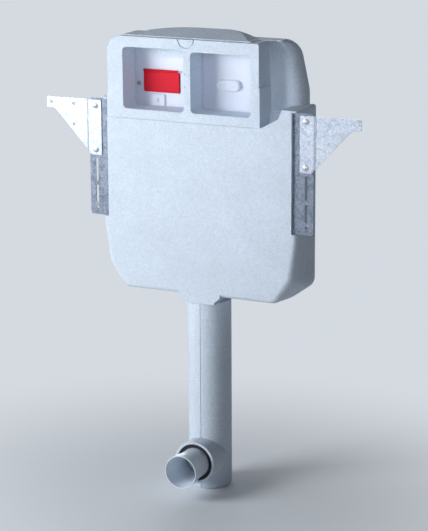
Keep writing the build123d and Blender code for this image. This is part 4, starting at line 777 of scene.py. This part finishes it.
def boltTree():
    # A grid of two by two stood upright, and each bolt turned by its own random angle
    tree, given = newTree("boltsOnGrid", {"Item": "Object", "Across": "Float", "Rise": "Float",
                                          "Middle": "Vector", "Seed": "Int", "Finish": "Material"})
    grid = node(tree, "GeometryNodeMeshGrid", {"Size X": given["Across"], "Size Y": given["Rise"],
                                               "Vertices X": 2, "Vertices Y": 2})
    upright = node(tree, "GeometryNodeTransform", {"Geometry": grid.outputs["Mesh"],
                                                   "Translation": given["Middle"], "Rotation": (pi / 2, 0, 0)})
    turn = node(tree, "FunctionNodeRandomValue", {"Seed": given["Seed"], 2: 0.0, 3: 2 * pi}, data_type="FLOAT")
    lean = node(tree, "ShaderNodeCombineXYZ", {"X": pi / 2, "Y": turn.outputs[1]})
    bolts = copiesOn(tree, given, upright.outputs["Geometry"], Rotation=lean.outputs[0])
    node(tree, "NodeGroupOutput", {"Geometry": bolts})
    return tree


def makeBolts(size):
    bolt = makeBolt(size)
    holder = looseObject("bracketBolts", bmesh.new())
    low, high = size["up"]
    runTree(holder, boltTree(), {
        "Item": bolt, "Across": size["across"], "Rise": high - low, "Seed": size["seed"],
        "Middle": (0.0, size["headBack"], (low + high) / 2), "Finish": finishes["zinc_screw"],
    })
    discard(bolt)
    smoothFaces(holder, size["sharp"])
    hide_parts("bracket_screws", "bracket_washers", "bracket_nuts")
    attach(holder, "cistern")
    print("bracket bolts:", len(holder.data.polygons), "faces")


makeBolts(bracketBolts)

# Cover screw with a slot and a rounded rim

coverScrew = {
    "middle": (-148.0 * mm, 711.5 * mm),
    "front": 135.8 * mm,
    "seat": 138.0 * mm,
    "end": 143.5 * mm,
    "radius": 4.0 * mm,
    "shank": 1.75 * mm,
    "rounds": (0, 0.3 * mm, 0, 0.15 * mm, 0.5 * mm, 0),  # at each corner of the outline
    "roundSteps": 5,
    "slot": (7.0 * mm, 1.1 * mm, 1.2 * mm),  # length, width, depth
    "slotTurn": 40.0,  # degrees
    "sides": 64,
    "sharp": 30,  # degrees
}


def makeCoverScrew(size):
    height, tip = size["seat"] - size["front"], size["seat"] - size["end"]
    radius, shank = size["radius"], size["shank"]
    outline = [(0, tip), (shank, tip), (shank, 0), (radius, 0), (radius, height), (0, height)]
    head = turned(roundedProfile(outline, size["rounds"], size["roundSteps"]), size["sides"])
    shape = carved(head, bar(*size["slot"], height, turn=radians(size["slotTurn"])))
    across, up = size["middle"]
    piece = newPiece("coverScrewMoulding", shape, "grey_plastic",
                     Matrix.Translation((across, size["seat"], up)) @ forwards)
    smoothFaces(piece, size["sharp"])
    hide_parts("cover_screw")
    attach(piece, "cistern")


makeCoverScrew(coverScrew)
print("cover screw cut")

# Red plate: a raised border round a sunk face, and three hinge barrels

redPlate = {
    "across": (-136.6 * mm, -62.4 * mm),
    "low": 697.0 * mm,
    "hinge": (134.6 * mm, 737.6 * mm),  # y and z
    "front": 134.5 * mm,
    "back": 137.0 * mm,
    "knuckle": 2.4 * mm,
    "border": 2.2 * mm,
    "dip": 0.5 * mm,
    "dipSlope": 0.3 * mm,
    "corner": 2.0 * mm,
    "cornerSteps": 6,
    "edge": 0.4 * mm,
    "barrels": ((0.0, 0.24), (0.245, 0.755), (0.76, 1.0)),  # along the width
    "barrelSides": 40,
    "groove": 0.25 * mm,
    "sharp": 30,  # degrees
}


def plateOutline(left, right, low, high, radius, steps):
    # From the lower left round, with round lower corners
    points = []
    for across, start in ((left + radius, pi), (right - radius, 1.5 * pi)):
        for step in range(steps + 1):
            t = start + pi / 2 * step / steps
            points.append((across + radius * cos(t), low + radius + radius * sin(t)))
    return points + [(right, high), (left, high)]


def makeRedPlate(size):
    left, right = size["across"]
    low, face = size["low"], size["front"]
    hingeY, top = size["hinge"]
    middle = Vector(((left + right) / 2, (low + top) / 2))
    reach = Vector(((right - left) / 2, (top - low) / 2))
    outline = plateOutline(left, right, low, top, size["corner"], size["cornerSteps"])
    levels = [(0, size["back"]), (0, face + size["edge"]), (size["edge"], face),
              (size["border"], face), (size["border"] + size["dipSlope"], face + size["dip"])]
    shape = bmesh.new()
    rings = []
    for inset, depth in levels:
        narrower, lower = (reach.x - inset) / reach.x, (reach.y - inset) / reach.y
        rings.append([shape.verts.new((middle.x + (x - middle.x) * narrower, depth,
                                       middle.y + (z - middle.y) * lower)) for x, z in outline])
    skin(shape, rings)
    width, knuckle, groove = right - left, size["knuckle"], size["groove"]
    profile = [(0, 0)]
    for start, end in size["barrels"]:
        near, far = start * width, end * width
        profile += [(knuckle - groove, near), (knuckle, near + groove),
                    (knuckle, far - groove), (knuckle - groove, far)]
    barrel = turned(profile + [(0, width)], size["barrelSides"])
    bmesh.ops.transform(barrel, verts=barrel.verts,
                        matrix=Matrix.Translation((left, hingeY, top)) @ Matrix.Rotation(pi / 2, 4, "Y"))
    addTo(shape, barrel)
    piece = newPiece("redPlateMoulding", shape, "red_plastic")
    smoothFaces(piece, size["sharp"])
    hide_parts("push_plate")
    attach(piece, "push_plate")


makeRedPlate(redPlate)
print("red plate shaped")

# Stop valve handle: a long grip with a raised disc, and a row of low ribs on its narrow end

valveHandle = {
    "big": (53.6 * mm, 718.8 * mm, 11.0 * mm),  # x, z and radius of each end
    "small": (26.1 * mm, 718.8 * mm, 9.9 * mm),
    "back": 137.5 * mm,
    "front": 132.3 * mm,
    "edge": 2.0 * mm,
    "edgeSteps": 6,
    "skirt": 0.5 * mm,
    "endSteps": 40,
    "disc": 8.4 * mm,
    "discFront": 131.3 * mm,
    "discSink": 0.2 * mm,
    "discBevelShare": 0.4,
    "eyeShares": (0.3, 0.24),  # of the disc's radius
    "eyeDepthShares": (0.6, 0.5),
    "discSides": 64,
    "ribs": 5,
    "ribPitch": 2.6 * mm,
    "firstRib": 24.3 * mm,
    "rib": (0.55 * mm, 5.2 * mm, 0.3 * mm),  # half width, half length, height
    "ribShares": ((-1, 0.35), (-0.92, 0.8), (-0.8, 1.0), (0.8, 1.0), (0.92, 0.8), (1, 0.35)),
    "ribSteps": 6,
    "ribShortest": 0.99,
    "seed": 3,
    "sharp": 30,  # degrees
}


def gripOutline(size, inset):
    # A half circle at each end, with straight sides between
    points = []
    for (across, up, radius), start in ((size["big"], -pi / 2), (size["small"], pi / 2)):
        for step in range(size["endSteps"] + 1):
            t = start + pi * step / size["endSteps"]
            points.append((across + (radius - inset) * cos(t), up + (radius - inset) * sin(t)))
    return points


def ribTree():
    # A line of points, and each rib shortened by its own random share
    tree, given = newTree("ribsInRow", {"Item": "Object", "Count": "Int", "First": "Vector", "Step": "Vector",
                                        "Shortest": "Float", "Seed": "Int", "Finish": "Material"})
    row = node(tree, "GeometryNodeMeshLine", {"Count": given["Count"], "Start Location": given["First"],
                                              "Offset": given["Step"]})
    length = node(tree, "FunctionNodeRandomValue", {"Seed": given["Seed"], 2: given["Shortest"], 3: 1.0},
                  data_type="FLOAT")
    scale = node(tree, "ShaderNodeCombineXYZ", {"X": 1.0, "Y": 1.0, "Z": length.outputs[1]})
    ribs = copiesOn(tree, given, row.outputs["Mesh"], Scale=scale.outputs[0])
    joined = node(tree, "GeometryNodeJoinGeometry")
    tree.links.new(given["Geometry"], joined.inputs[0])
    tree.links.new(ribs, joined.inputs[0])
    node(tree, "NodeGroupOutput", {"Geometry": joined.outputs["Geometry"]})
    return tree


def oneRib(size):
    # A low half-round rib along Z, its back sunk a little into the grip
    half, length, height = size["rib"]
    steps = size["ribSteps"]
    shape = bmesh.new()
    rings = []
    for along, share in size["ribShares"]:
        turns = [pi * step / steps for step in range(steps + 1)]
        spots = [(half * share * cos(t), -height * share * sin(t), along * length) for t in turns]
        rings.append([shape.verts.new(spot) for spot in spots + [(0, height, along * length)]])
    return looseObject("rib", skin(shape, rings))


def valveDisc(size):
    # Lies in the front of the grip, with a small eye in its middle
    radius, height = size["disc"], size["front"] - size["discFront"]
    bevel = height * size["discBevelShare"]
    (eyeTop, eyeLow), (slopeEnd, eyeFloor) = size["eyeShares"], size["eyeDepthShares"]
    profile = [(0, -size["discSink"]), (radius, -size["discSink"]), (radius, height - bevel),
               (radius - bevel, height), (radius * eyeTop, height), (radius * eyeLow, height * slopeEnd),
               (0, height * eyeFloor)]
    disc = turned(profile, size["discSides"])
    across, up, _ = size["big"]
    bmesh.ops.transform(disc, verts=disc.verts,
                        matrix=Matrix.Translation((across, size["front"], up)) @ forwards)
    return disc


def makeHandle(size):
    front, back, edge, skirt = size["front"], size["back"], size["edge"], size["skirt"]
    levels = [(skirt, back), (0.0, back - skirt), (0.0, front + edge)]
    for step in range(1, size["edgeSteps"] + 1):
        t = pi / 2 * step / size["edgeSteps"]
        levels.append((edge * (1 - cos(t)), front + edge * (1 - sin(t))))
    shape = bmesh.new()
    rings = []
    for inset, depth in levels:
        rings.append([shape.verts.new((x, depth, z)) for x, z in gripOutline(size, inset)])
    skin(shape, rings)
    addTo(shape, valveDisc(size))
    piece = newPiece("handleMoulding", shape, "white_plastic")
    rib = oneRib(size)
    runTree(piece, ribTree(), {
        "Item": rib, "Count": size["ribs"], "First": (size["firstRib"], front, size["small"][1]),
        "Step": (size["ribPitch"], 0.0, 0.0), "Shortest": size["ribShortest"], "Seed": size["seed"],
        "Finish": finishes["white_plastic"],
    })
    discard(rib)
    smoothFaces(piece, size["sharp"])
    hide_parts("stop_valve_handle")
    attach(piece, "stop_valve_handle")


makeHandle(valveHandle)
print("valve handle shaped")
